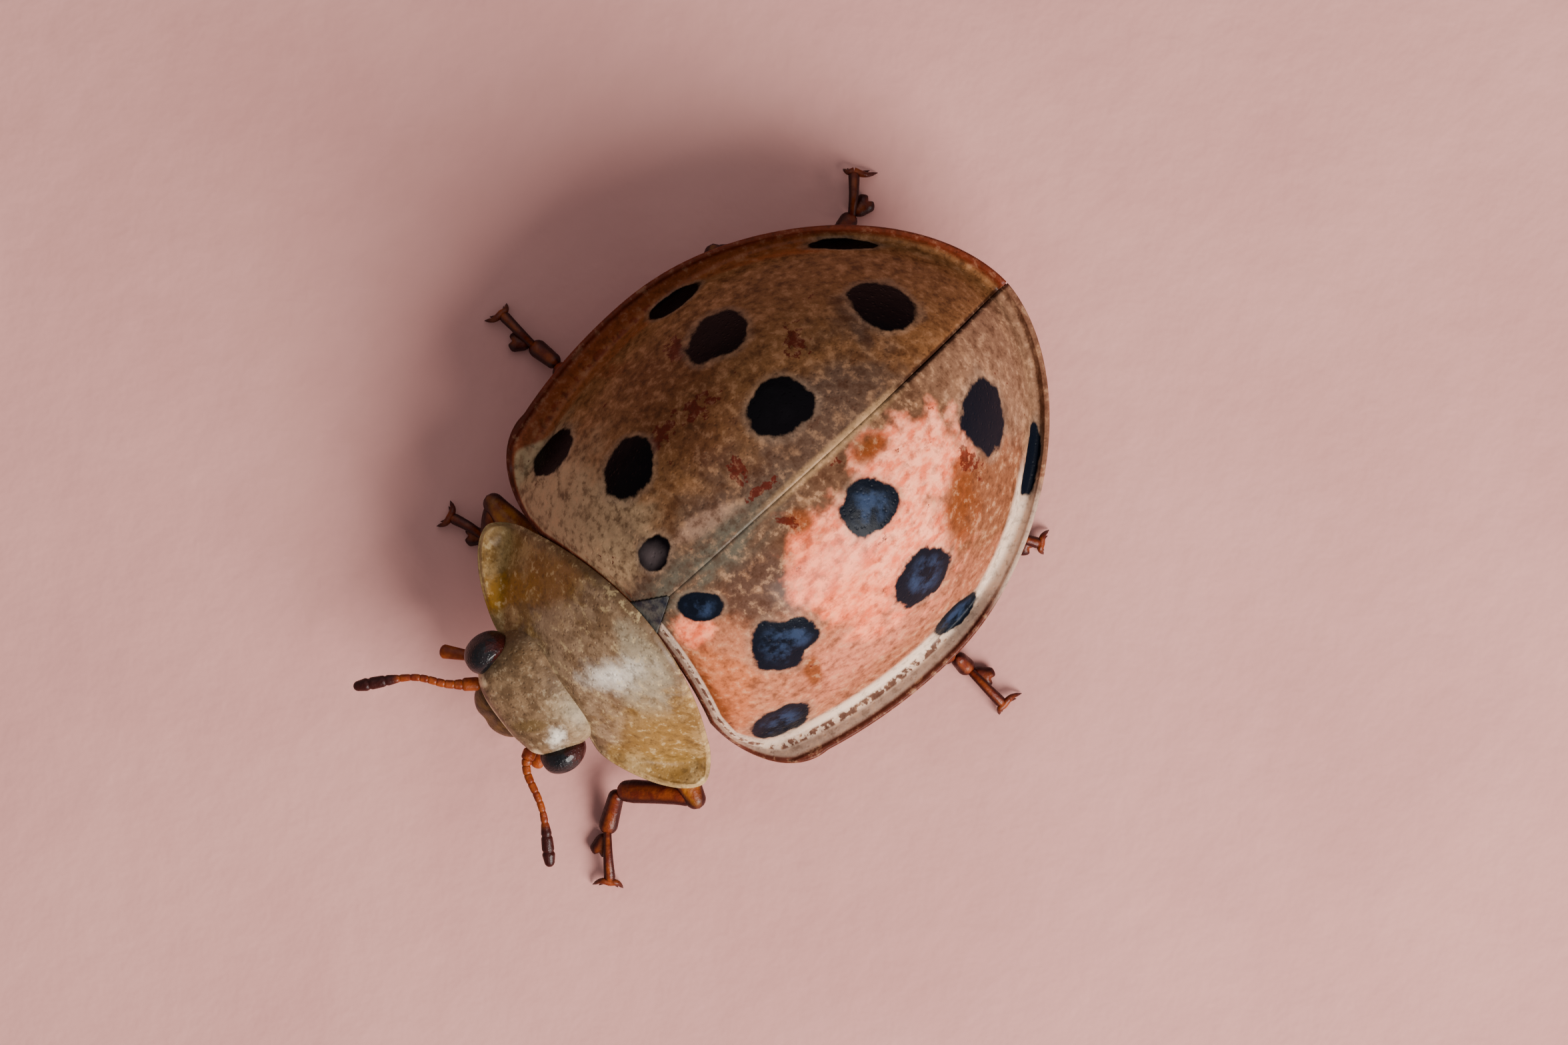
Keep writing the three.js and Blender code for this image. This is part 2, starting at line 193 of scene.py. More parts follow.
def grid_faces(rows, columns, wrap=False, start=0):
    last = columns if wrap else columns - 1
    r, c = np.meshgrid(np.arange(rows - 1), np.arange(last), indexing="ij")
    a = start + r * columns + c
    b = start + r * columns + (c + 1) % columns
    return np.stack([a, b, b + columns, a + columns], -1).reshape(-1, 4)


def joined(parts):
    """Several (points, faces, values) as one."""
    points, faces, values, start = [], [], [], 0
    for part_points, part_faces, part_values in parts:
        points.append(part_points)
        faces.append(part_faces + start)
        values.append(part_values)
        start += len(part_points)
    return np.concatenate(points), np.concatenate(faces), np.concatenate(values)


def add_piece(name, shape, material, slot, *nodes):
    """A smooth closed mesh in beetle millimetres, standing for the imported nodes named."""
    points, faces, values = shape
    mesh = bpy.data.meshes.new(name)
    mesh.from_pydata((points * MM + ORIGIN).tolist(), [], faces.tolist())
    mesh.attributes.new("tone", "FLOAT", "POINT").data.foreach_set("value", values.astype(np.float32))
    work = bmesh.new()
    work.from_mesh(mesh)
    bmesh.ops.remove_doubles(work, verts=work.verts, dist=SAME_PLACE)
    bmesh.ops.recalc_face_normals(work, faces=work.faces)
    work.to_mesh(mesh)
    work.free()
    mesh.polygons.foreach_set("use_smooth", [True] * len(mesh.polygons))
    mesh.materials.append(material)
    piece = bpy.data.objects.new(name, mesh)
    link(piece)
    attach(piece, "root")
    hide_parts(*nodes)


def edge_loop(rows, columns):
    """Indexes round the border of a grid."""
    first = [(0, c) for c in range(columns)] + [(r, columns - 1) for r in range(1, rows)]
    back = [(rows - 1, c) for c in range(columns - 2, -1, -1)] + [(r, 0) for r in range(rows - 2, 0, -1)]
    return np.array([r * columns + c for r, c in first + back])


def slab(plan, top, bottom, tone, bulge=0.02, steps=3):
    """A plate over a grid of (x, y) places, with a rounded edge all round."""
    rows, columns = plan.shape[:2]
    x, y = plan[..., 0], plan[..., 1]
    upper = np.dstack([x, y, top(x, y)]).reshape(-1, 3)
    lower = np.dstack([x, y, bottom(x, y)]).reshape(-1, 3)
    values = tone(x, y).reshape(-1)
    loop = edge_loop(rows, columns)
    ahead = np.roll(upper[loop], -1, axis=0) - np.roll(upper[loop], 1, axis=0)
    outward = unit(np.stack([ahead[:, 1], -ahead[:, 0], np.zeros(len(loop))], -1))
    if np.sum(outward * (upper[loop] - upper.mean(axis=0))) < 0:
        outward = -outward
    middle, half = (upper[loop] + lower[loop]) / 2, (upper[loop] - lower[loop]) / 2
    rings = [upper[loop]]
    for k in range(1, steps + 1):
        angle = math.pi * k / (steps + 1)
        rings.append(middle + half * math.cos(angle) + outward * bulge * math.sin(angle))
    rings.append(lower[loop])
    flat = grid_faces(rows, columns)
    edge = grid_faces(steps + 2, len(loop), wrap=True)
    edge_points = np.concatenate(rings)
    return joined([
        (upper, flat, values),
        (lower, flat[:, ::-1], values),
        (edge_points, edge, np.tile(values[loop], steps + 2)),
    ])


def spline(points, count):
    """A smooth run of places through the points, and their shares of the way."""
    points = np.array(points, float)
    ends = np.concatenate([[2 * points[0] - points[1]], points, [2 * points[-1] - points[-2]]])
    spans = len(points) - 1
    t = np.linspace(0, spans, count)
    i = np.minimum(t.astype(int), spans - 1)
    u = (t - i)[:, None]
    a, b, c, d = ends[i], ends[i + 1], ends[i + 2], ends[i + 3]
    square, cube = 2 * a - 5 * b + 4 * c - d, 3 * b - a - 3 * c + d
    return 0.5 * (2 * b + (c - a) * u + square * u**2 + cube * u**3), np.linspace(0, 1, count)


def tube(path, wide, high, tone, sides):
    """A limb along a path with its half width, half height and tone at each place."""
    ahead = unit(np.gradient(path, axis=0))
    across = unit(np.cross(ahead, [0.0, 0.0, 1.0]))
    upward = np.cross(across, ahead)
    angles = np.linspace(0, 2 * math.pi, sides, endpoint=False)
    wide, high = np.asarray(wide)[:, None, None], np.asarray(high)[:, None, None]
    round_about = np.cos(angles)[None, :, None] * across[:, None] * wide
    round_about = round_about + np.sin(angles)[None, :, None] * upward[:, None] * high
    points = path[:, None] + round_about
    values = np.broadcast_to(np.asarray(tone).reshape(-1, 1), (len(path), sides))
    return points.reshape(-1, 3), grid_faces(len(path), sides, wrap=True), values.reshape(-1)


def rounded_ends(path, radii):
    """1 along a limb and falling to 0 at each end as a ball does."""
    steps = np.linalg.norm(np.diff(path, axis=0), axis=1)
    run = np.concatenate([[0], np.cumsum(steps)])
    from_start = np.sqrt(1 - (1 - np.minimum(1, run / radii[0])) ** 2)
    from_end = np.sqrt(1 - (1 - np.minimum(1, (run[-1] - run) / radii[-1])) ** 2)
    return from_start * from_end


def ball(centre, radii, turn=0.0, rings=24, sides=32, form=None):
    """An ellipsoid turned about the vertical. form() may reshape the round ball that it starts from."""
    up = np.linspace(-math.pi / 2, math.pi / 2, rings)
    around = np.linspace(0, 2 * math.pi, sides, endpoint=False)
    u, a = np.meshgrid(up, around, indexing="ij")
    points = np.stack([np.cos(u) * np.cos(a), np.cos(u) * np.sin(a), np.sin(u)], -1).reshape(-1, 3)
    if form is not None:
        points = form(points)
    points = spun(points * np.array(radii), turn) + np.array(centre)
    return points, grid_faces(rings, sides, wrap=True), np.zeros(len(points))


def untoned(x, y):
    return 0 * x


# ---- materials ----
THROUGH = 9  # a radius in millimetres that reaches through the whole beetle
PATCH_Z = 2.8  # level of the middle of a patch of colour


def colour(red, green, blue):
    """An sRGB colour, 0 to 255, as the linear one that a socket holds."""
    parts = [c / 255 for c in (red, green, blue)]
    return tuple(c / 12.92 if c <= 0.04045 else ((c + 0.055) / 1.055) ** 2.4 for c in parts) + (1.0,)


class Finish:
    """One material's nodes, laid out in the beetle's millimetres. Most methods give the socket they make."""

    def __init__(self, name, **sockets):
        self.material = bpy.data.materials.new(name)
        self.material.use_nodes = True
        self.tree = self.material.node_tree
        self.shader = self.tree.nodes["Principled BSDF"]
        for socket, value in sockets.items():
            self.shader.inputs[socket.replace("_", " ").title().replace("Ior", "IOR")].default_value = value
        place = self.put("TexCoord", output="Object")
        moved = self.put("VectorMath", {0: place, 1: tuple(ORIGIN)}, operation="SUBTRACT")
        self.place = self.put("VectorMath", {0: moved, "Scale": 1 / MM}, operation="SCALE")
        self.x, self.y = [self.put("SeparateXYZ", {0: self.place}, output=k) for k in (0, 1)]
        self.tone = self.put("Attribute", output="Fac", attribute_name="tone")

    def feed(self, socket, value):
        if isinstance(value, bpy.types.NodeSocket):
            self.tree.links.new(value, socket)
        else:
            socket.default_value = value

    def put(self, kind, inputs=None, output=0, **settings):
        node = self.tree.nodes.new(f"ShaderNode{kind}")
        for key, value in settings.items():
            setattr(node, key, value)
        for key, value in (inputs or {}).items():
            self.feed(node.inputs[key], value)
        return node.outputs[output]

    def math(self, operation, a, b=0.0):
        return self.put("Math", {0: a, 1: b}, operation=operation)

    def step(self, value, low, high, start=0.0, end=1.0):
        """Runs smoothly from start to end as value goes from low to high."""
        sockets = {0: value, 1: low, 2: high, 3: start, 4: end}
        return self.put("MapRange", sockets, interpolation_type="SMOOTHSTEP")

    def blend(self, share, a, b):
        """From colour a to colour b as the share goes from 0 to 1."""
        return self.put("Mix", {0: share, 6: a, 7: b}, output=2, data_type="RGBA")

    def noise(self, scale, detail=3.0, roughness=0.55, stretch=None):
        place = self.place
        if stretch:
            place = self.put("VectorMath", {0: place, 1: stretch}, operation="MULTIPLY")
        sockets = {"Vector": place, "Scale": scale, "Detail": detail, "Roughness": roughness}
        return self.put("TexNoise", sockets)

    def cells(self, scale):
        """Distance from the nearest of many scattered points."""
        return self.put("TexVoronoi", {"Vector": self.place, "Scale": scale})

    def blot(self, centre, radii, turn=0.0):
        """Distance from a centre as a share of the radii, which are turned about the vertical by degrees."""
        sockets = {"Vector": self.place, "Location": centre, "Scale": (*radii, THROUGH)[:3]}
        sockets["Rotation"] = (0.0, 0.0, math.radians(turn))
        inside = self.put("Mapping", sockets, vector_type="TEXTURE")
        return self.put("VectorMath", {0: inside}, output=1, operation="LENGTH")

    def blots(self, places, ragged):
        """Distance from the nearest of several blots, moved in and out by a ragged pattern."""
        nearest, *others = [self.blot(*place) for place in places]
        for other in others:
            nearest = self.math("MINIMUM", nearest, other)
        return self.math("ADD", nearest, ragged)

    def times(self, a, *others):
        for other in others:
            a = self.math("MULTIPLY", a, other)
        return a

    def relief(self, *layers):
        """Bump from (height, depth in millimetres) layers."""
        normal = None
        for height, depth in layers:
            sockets = {"Height": height, "Distance": depth * MM, "Strength": 1.0}
            if normal is not None:
                sockets["Normal"] = normal
            normal = self.put("Bump", sockets)
        self.feed(self.shader.inputs["Normal"], normal)

    def paint(self, base, roughness):
        self.feed(self.shader.inputs["Base Color"], base)
        self.feed(self.shader.inputs["Roughness"], roughness)
        return self.material


# ---- spots: place on the plan, half length across and along, and turn in degrees ----
SPOTS = {
    "left": [
        (0.3, 0.53, 0.16, 0.23, -32),
        (1.16, 0.83, 0.36, 0.27, 0),
        (1.2, 0.98, 0.24, 0.32, 8),
        (1.78, 0.35, 0.23, 0.33, -22),
        (0.69, 2.51, 0.28, 0.31, 0),
        (1.64, 2.43, 0.28, 0.35, 14),
        (2.2, 2.4, 0.1, 0.3, 3),
        (0.83, 4.02, 0.39, 0.34, -36),
        (1.52, 4.07, 0.09, 0.4, 41),
    ],
    "right": [
        (-0.43, 0.54, 0.16, 0.23, 5),
        (-1.26, 0.93, 0.3, 0.34, 5),
        (-1.85, 0.45, 0.18, 0.27, 4),
        (-0.7, 2.52, 0.31, 0.33, 20),
        (-1.65, 2.52, 0.27, 0.35, -4),
        (-2.17, 2.46, 0.09, 0.3, -8),
        (-0.74, 4.01, 0.35, 0.35, 28),
        (-1.46, 4.1, 0.09, 0.4, -46),
    ],
}


def spot_distance(f, side):
    places = []
    for x, y, half_across, half_along, turn in SPOTS[side]:
        z = float(dome_top(x, y))
        # on a steep flank the spot also runs down the side
        deep = half_across + 0.25 * ramp(1.2, 2.2, abs(x))
        places.append(((x, y, z), (half_across, half_along, float(deep)), turn))
    wobble = f.step(f.noise(2.6, 1.0), 0.3, 0.7, -0.12, 0.12)
    fray = f.step(f.noise(14.0, 3.0), 0.25, 0.75, -0.045, 0.045)
    return f.blots(places, f.math("ADD", wobble, fray))


# colours of the ground beside the seam, on the flank, in front and at the tip
GROUND = {
    "left": [(92, 62, 44), (150, 86, 60), (166, 98, 68), (124, 88, 66)],
    "right": [(81, 58, 45), (115, 75, 44), (162, 131, 98), (119, 77, 45)],
}
# the black of the spots, and a painted sheen, a painted reflection, on those in front; the bluish tint of
# the left ones' black is painted reflection too
SPOT_BLACK = {"left": [(11, 14, 22), (37, 48, 70)], "right": [(5, 2, 4), (8, 5, 7)]}
# the horny margin, and its dark ticks; the right margin's darker, redder colours are partly painted shade
FLANGE = {"left": [(222, 192, 168), (74, 34, 22)], "right": [(136, 72, 38), (112, 44, 22)]}
# the strength of the dark mottle, the pale mottle, the dark grain and the pale grain
GRAINS = {"left": (0.36, 0.24, 0.4, 0.26), "right": (0.46, 0.18, 0.46, 0.14)}

# ragged oval patches: centre and radii on the plan, turn in degrees, strength, colour, and for some
# the shares of the radii where they are full and where they have faded out
PATCHES = {
    "left": [
        ((0.48, 1.05), (0.45, 0.42), 20, 0.95, (79, 54, 42)),  # brown beside the seam
        ((1.1, 0.15), (0.55, 0.3), -8, 0.6, (172, 88, 46)),  # orange in front
        ((1.72, 1.6), (0.35, 0.9), 0, 0.7, (196, 112, 84)),  # salmon on the flank, painted sunlight like the patch on the crown
        ((1.5, 3.45), (0.55, 0.6), 30, 0.9, (116, 68, 42)),  # tan behind
    ],
    "right": [
        ((-1.35, 1.75), (0.75, 0.65), 0, 0.45, (84, 38, 16)),  # dark on the disc
        ((-2.5, 1.4), (0.4, 1.2), 0, 0.75, (118, 46, 18)),  # rust on the flank
        ((-0.32, 1.1), (0.13, 0.5), -12, 0.7, (146, 112, 92)),  # a pale streak beside the seam
    ],
    "right_spots": [
        ((-0.44, 0.5), (0.12, 0.17), 10, 0.7, (84, 72, 72), (0.0, 1.4)),  # a painted highlight, grey, on the foremost spot
    ],
    "pronotum": [
        ((-0.92, -0.4), (0.3, 0.32), 12, 0.75, (124, 80, 30)),  # brown on the right
        ((-1.1, -0.86), (0.2, 0.34), -20, 0.95, (130, 86, 14), (0.6, 1.2)),  # amber on the right
        ((0.42, -0.36), (0.28, 0.62), 56, 0.7, (148, 134, 110)),  # greyish on the left, the fading edge of the painted highlight
        ((1.15, -0.74), (0.55, 0.3), 0, 0.8, (128, 93, 43)),  # yellowish on the left
        ((-0.52, -0.66), (0.2, 0.28), 0, 0.5, (160, 130, 100)),  # pale beside the middle
        ((0.24, -0.62), (0.2, 0.36), -32, 1.0, (220, 208, 192), (-0.1, 1.3)),  # a painted highlight, whitish
    ],
    "head": [
        ((-0.7, -1.2), (0.3, 0.2), 0, 0.6, (92, 64, 36)),  # umber beside the right eye
        ((0.4, -1.14), (0.4, 0.26), 20, 0.6, (158, 138, 108), (-0.2, 1.4)),  # cream beside the left eye
        ((0.08, -1.62), (0.07, 0.2), -40, 0.7, (84, 62, 30)),  # an olive streak
        ((0.36, -1.5), (0.12, 0.16), 30, 0.9, (224, 212, 196), (-0.1, 1.2)),  # a painted highlight, whitish, on the left
    ],
}


def patched(f, base, ragged, patches):
    """The base with patches, their edges moved in and out by the ragged pattern."""
    for centre, radii, turn, strength, tint, *fade in patches:
        full, faded = fade[0] if fade else (0.5, 1.2)
        distance = f.blots([((*centre, PATCH_Z), radii, turn)], ragged)
        base = f.blend(f.step(distance, faded, full, 0.0, strength), base, colour(*tint))
    return base


# smaller patches and marks: centre, radii on the plan, and turn in degrees
# the first places are the patch of painted sunlight on the left elytron
PAINTED_SUNLIGHT_PLACES = [
    ((1.05, 1.8, 3.2), (0.68, 0.46), 5),
    ((1.08, 2.35, 3.2), (0.7, 0.7)),
    ((0.68, 3.18, 3.0), (0.46, 0.6), -12),
    ((0.44, 0.3, 3.0), (0.22, 0.15), 40),
]
BLOTCH_PLACES = [
    ((1.3, 3.26, 3.0), (0.17, 0.48), 42),
    ((0.3, 1.86, 3.2), (0.13, 0.13)),
    ((0.26, 2.92, 3.2), (0.12, 0.18)),
    ((1.62, 0.92, 2.4), (0.16, 0.1), -20),
    ((1.02, -0.02, 2.6), (0.4, 0.1), -8),
]
MARK_PLACES = [
    ((-1.28, 1.42, 3.1), (0.06, 0.24), 4),
    ((-1.26, 1.84, 3.1), (0.07, 0.22), -8),
    ((-0.5, 1.74, 3.4), (0.12, 0.07), -15),
    ((-0.18, 1.8, 3.4), (0.06, 0.16), -12),
    ((0.26, 1.78, 3.4), (0.1, 0.05), 20),
    ((-1.8, 2.1, 2.6), (0.1, 0.1)),
    ((-1.06, 3.08, 3.0), (0.13, 0.1)),
    ((1.1, 3.58, 2.8), (0.14, 0.08)),
]
SKIN_STARTS = (0.5, 0.46)  # where the specks of the pronotum and the head start in their pattern


def speckled(f, base, pattern, strengths, dark, pale, starts=(0.48, 0.48)):
    """The base with dark specks where the pattern is high and pale ones where it is low."""
    base = f.blend(f.step(pattern, starts[0], 0.68, 0.0, strengths[0]), base, colour(*dark))
    return f.blend(f.step(pattern, starts[1], 0.32, 0.0, strengths[1]), base, colour(*pale))


def elytron_finish(side):
    """A mottled ground with its marks and its margin, and the black spots over it."""
    f = Finish(f"elytron_{side}", coat_roughness=0.15, specular_ior_level=0.04)
    drift = f.step(f.noise(1.6, 4.0, 0.6), 0.25, 0.75, -0.35, 0.35)
    mottle, grain = f.noise(5.0, 5.0, 0.6), f.noise(10.0, 4.0, 0.65)
    ground = broad_ground(f, side, drift)
    ground = speckled(f, ground, mottle, GRAINS[side][:2], (64, 30, 12), (190, 136, 96))
    # painted sunlight over the crown of the left elytron
    if side == "left":
        ground = painted_sunlit_patch(f, ground)
    ground = seam_lines(f, ground)
    ground = f.blend(f.times(red_marks(f), 0.85), ground, colour(76, 14, 5))
    ground = margin_band(f, ground, side)
    distance = spot_distance(f, side)
    ground = f.blend(f.step(distance, 1.1, 1.4, 0.35, 0.0), ground, colour(130, 106, 88))
    ground = speckled(f, ground, grain, GRAINS[side][2:], (52, 26, 12), (206, 158, 120))
    spotted = f.step(distance, 1.13, 0.98)
    base = f.blend(spotted, ground, spot_black(f, side, distance, mottle))
    # a painted highlight on the foremost spot of the right elytron
    base = patched(f, base, drift, PATCHES.get(f"{side}_spots", []))
    f.feed(f.shader.inputs["Coat Weight"], f.step(distance, 1.13, 0.98, 0.08, 0.02))
    pits = f.step(f.cells(17.0), 0.05, 0.35)
    f.relief((f.noise(3.0, 2.0), 0.012), (pits, 0.003), (grain, 0.005))
    rough = f.step(mottle, 0.3, 0.7, 0.4, 0.52)
    return f.paint(base, f.math("SUBTRACT", rough, f.times(spotted, 0.15)))


def broad_ground(f, side, drift):
    """The broad colours of an elytron, from the seam outwards and from front to back."""
    seam_side, flank, front, tip = [colour(*c) for c in GROUND[side]]
    out = f.math("ADD", f.math("ABSOLUTE", f.x), drift)
    back = f.math("ADD", f.y, drift)
    ground = f.blend(f.step(out, 0.35, 1.2), seam_side, flank)
    ground = f.blend(f.times(f.step(back, 1.2, 0.3), f.step(out, 0.2, 0.8)), ground, front)
    ground = f.blend(f.step(back, 3.4, 4.2), ground, tip)
    return patched(f, ground, drift, PATCHES[side])


def spot_black(f, side, distance, mottle):
    """The spots in front have a painted sheen, a bluish or brownish reflection painted over their middle."""
    deep, sheen = [colour(*c) for c in SPOT_BLACK[side]]
    lit = f.times(f.step(mottle, 0.4, 0.62), f.step(distance, 0.9, 0.4), f.step(f.y, 3.6, 2.8))
    return f.blend(lit, deep, sheen)


def painted_sunlit_patch(f, ground):
    """Painted sunlight: a salmon patch over the crown of the left elytron, coloured as if a direct light
    fell on it, and the orange-brown blotches beside it.
    """
    ragged = f.step(f.noise(3.4, 3.0, 0.5), 0.25, 0.75, -0.35, 0.35)
    distance = f.blots(PAINTED_SUNLIGHT_PLACES, ragged)
    blotched = f.step(f.blots(BLOTCH_PLACES, ragged), 1.4, 0.5, 0.0, 0.9)
    streaky = f.step(f.noise(7.0, 4.0, 0.6, stretch=(1.4, 0.7, 1.0)), 0.35, 0.65)
    # the colours of the painted sunlight, streaked, and more orange in front
    salmon = f.blend(streaky, colour(255, 158, 122), colour(220, 100, 66))
    front = f.blend(streaky, colour(252, 136, 96), colour(210, 90, 54))
    salmon = f.blend(f.step(f.y, 2.4, 1.7), salmon, front)
    ground = f.blend(f.step(distance, 1.28, 0.7), ground, salmon)
    return f.blend(blotched, ground, colour(106, 50, 16))


def seam_lines(f, ground):
    """A painted greyish reflection over the front of the seam, and the seam's own fine lines, the pale one
    partly a painted highlight.
    """
    off = f.math("ABSOLUTE", f.x)
    patchy = f.step(f.noise(5.0, 4.0, 0.6, stretch=(1.6, 0.6, 1.0)), 0.3, 0.6, 0.25, 1.0)
    painted_seam_reflection = f.times(f.step(off, 0.36, 0.08), f.step(f.y, 2.4, 1.2, 0.0, 0.9), patchy)
    ground = f.blend(painted_seam_reflection, ground, colour(84, 78, 66))
    # a pale line along the seam, partly its own colour and partly a painted highlight
    pale = f.times(f.step(off, 0.09, 0.03), f.step(f.y, 3.7, 3.2), f.step(f.y, 1.4, 2.2), 0.7)
    ground = f.blend(pale, ground, colour(158, 122, 86))
    dark = f.times(f.step(off, 0.05, 0.02), f.step(f.y, 3.2, 3.8, 0.0, 0.9))
    return f.blend(dark, ground, colour(34, 14, 9))


def red_marks(f):
    """Ragged reddish-brown marks: a few larger ones on the disc, and scattered flecks."""
    marks = f.blots(MARK_PLACES, f.step(f.noise(9.0, 4.0, 0.6), 0.3, 0.7, -0.8, 0.8))
    fleck = f.step(f.noise(4.5, 4.0, 0.65, stretch=(1.3, 0.8, 1.0)), 0.67, 0.72)
    return f.math("MAXIMUM", f.step(marks, 1.1, 0.8), fleck)


def margin_band(f, ground, side):
    """The flat margin is horny, with a row of dark ticks inside it and a dark bead along its edge."""
    left = side == "left"
    horn, dark = [colour(*c) for c in FLANGE[side]]
    ticks = f.times(f.step(f.noise(12.0, 3.0), 0.44, 0.54), f.step(f.y, 2.8, 2.2, 0.2, 1.0))
    fade = f.step(f.y, 3.75, 4.1, 1.0, 0.0)
    horn = f.blend(f.step(f.y, 1.1, 0.3, 0.0, 0.6), horn, f.blend(0.5, horn, dark))
    outermost = f.times(f.step(f.tone, 0.925, 0.945), f.step(f.y, 2.6, 3.2, 0.6, 0.25))
    horn = f.blend(outermost, horn, dark)
    inwards = f.math("SUBTRACT", f.tone, f.step(f.y, 2.0, 2.8, 0.0, 0.035))
    if not left:
        inwards = f.math("SUBTRACT", inwards, f.step(f.y, 0.6, 0.1, 0.0, 0.09))
    ground = f.blend(f.times(f.step(inwards, 0.862, 0.882), fade, 0.95), ground, horn)
    row = f.times(f.step(f.tone, 0.9, 0.91), f.step(f.tone, 0.94, 0.93), ticks, fade)
    reach = 0.9 if left else f.step(f.y, 0.3, 0.7, 0.25, 0.9)
    ground = f.blend(f.times(row, reach), ground, dark)
    bead = f.step(f.y, 2.6, 3.0, 0.95, 0.4) if left else 0.95
    rust = colour(76, 26, 14)
    if not left:
        rust = f.blend(f.step(f.y, 0.4, 1.0), colour(66, 20, 11), colour(94, 35, 19))
    return f.blend(f.times(f.step(f.tone, 0.965, 0.985), bead), ground, rust)


def pronotum_finish():
    """Greyish brown in the middle and ochre at the sides, in patches, with a painted whitish highlight and
    painted shade along the rear edge.
    """
    f = Finish("pronotum", coat_weight=0.06, coat_roughness=0.2, specular_ior_level=0.15)
    mottle, grain = f.noise(5.0, 5.0, 0.65), f.noise(11.0, 4.0, 0.65)
    ragged = f.step(f.noise(3.0, 5.0, 0.65), 0.25, 0.75, -0.4, 0.4)
    off_middle = f.math("ABSOLUTE", f.x)
    centre = f.blend(f.step(mottle, 0.4, 0.6), colour(134, 108, 82), colour(106, 80, 56))
    ochre = f.blend(f.step(mottle, 0.4, 0.6), colour(148, 116, 72), colour(112, 80, 38))
    base = f.blend(f.step(f.math("ADD", off_middle, ragged), 0.5, 1.0), centre, ochre)
    base = patched(f, base, ragged, PATCHES["pronotum"])
    border = f.times(f.step(f.tone, 0.95, 0.99, 0.0, 0.25), f.step(off_middle, 1.1, 1.5))
    base = f.blend(border, base, colour(190, 164, 118))
    # painted shade along the rear edge, where the pronotum meets the elytra
    behind = f.times(f.step(f.tone, 0.82, 0.98, 0.0, 0.6), f.step(f.y, -0.6, -0.3), f.step(f.x, 1.0, 0.3))
    base = f.blend(behind, base, colour(66, 40, 20))
    base = speckled(f, base, grain, (0.5, 0.4), (64, 42, 18), (206, 178, 130), SKIN_STARTS)
    f.relief((f.noise(4.0, 2.0), 0.015), (f.step(f.cells(17.0), 0.05, 0.35), 0.004), (grain, 0.006))
    return f.paint(base, f.step(mottle, 0.3, 0.7, 0.42, 0.55))


def head_finish():
    """Greyish brown in patches with a painted highlight on the left, pale where the tone says, which is on
    the cheeks and in front.
    """
    f = Finish("head", coat_weight=0.06, coat_roughness=0.25, specular_ior_level=0.15)
    mottle, grain = f.noise(5.0, 5.0, 0.65), f.noise(16.0, 4.0, 0.65)
    ragged = f.step(f.noise(4.0, 5.0, 0.65), 0.25, 0.75, -0.4, 0.4)
    base = f.blend(f.step(mottle, 0.42, 0.6), colour(116, 90, 65), colour(86, 63, 42))
    base = patched(f, base, ragged, PATCHES["head"])
    base = f.blend(f.step(f.tone, 0.3, 1.0), base, colour(202, 172, 136))
    base = speckled(f, base, grain, (0.4, 0.22), (56, 40, 24), (196, 172, 138), SKIN_STARTS)
    f.relief((f.step(f.cells(19.0), 0.05, 0.35), 0.004), (grain, 0.006))
    return f.paint(base, f.step(mottle, 0.3, 0.7, 0.42, 0.56))


def plain_finish(name, light, dark, roughness=0.4, deep=None, **sockets):
    """Horny cuticle that runs from light to dark in a fine mottle, and to deep where the tone says."""
    f = Finish(name, **sockets)
    mottle, grain = f.noise(8.0, 3.0), f.noise(30.0, 2.0)
    base = f.blend(f.step(mottle, 0.35, 0.65), light, dark)
    if deep:
        base = f.blend(f.step(f.tone, 0.1, 0.9), base, deep)
    f.relief((mottle, 0.012), (grain, 0.006))
    return f.paint(base, f.step(grain, 0.3, 0.7, roughness - 0.05, roughness + 0.08))


def eye_finish():
    """Nearly black in front and a dark reddish brown behind."""
    f = Finish("eye", coat_weight=0.28, coat_roughness=0.07, specular_ior_level=0.15)
    facets = f.cells(34.0)
    black = f.blend(f.step(f.noise(5.0, 3.0), 0.35, 0.65), colour(10, 9, 12), colour(26, 20, 22))
    ragged = f.step(f.noise(9.0, 3.0), 0.3, 0.7, -0.25, 0.25)
    base = f.blend(f.step(f.math("ADD", f.tone, ragged), 0.55, 0.85), black, colour(44, 10, 7))
    f.relief((f.step(facets, 0.0, 0.6, 1.0, 0.0), 0.006))
    return f.paint(base, f.step(facets, 0.1, 0.5, 0.28, 0.4))


# ---- elytra and scutellum ----
def on_scutellum(x, y):
    """1 where the scutellum lies, for the hollow that takes it."""
    half = SCUTELLUM["half"] * (1 - y / SCUTELLUM["long"])
    return ramp(0, 0.035, np.minimum(half - np.abs(x), y + 0.05))


def elytral_top(x, y):
    share = edge_share(x, y)
    foot = foot_share(y)
    margin = 0.01 + 0.05 * ramp(foot + 0.015, 0.985, share) + 0.025 * ramp(0.982, 0.99, share)
    top = rim_height(y) + smooth_max((TOP_Z - RIM_Z) * dome_share(x, y, foot), margin, 0.05)
    front_roll = 0.14 * np.maximum(0, 1 - (y - base_y(x)) / 0.3) ** 2
    shoulder_knob = 0.05 * hump(np.hypot(np.abs(x) - 1.6, y - 0.5), 0.3)
    seam = 0.016 * hump(x, 0.035) * ramp(2.4, 3.8, y)
    return top - front_roll + shoulder_knob - seam - 0.12 * on_scutellum(x, y)


def elytral_under(x, y):
    share, foot = edge_share(x, y), inner_foot(y)
    fold = mix(rim_height(y) - RIM_THICK, elytral_top(x, y) - 0.07, ramp(foot, 0.99, share))
    return np.where(share < foot, np.minimum(dome_inside(x, y), elytral_top(x, y) - 0.08), fold)


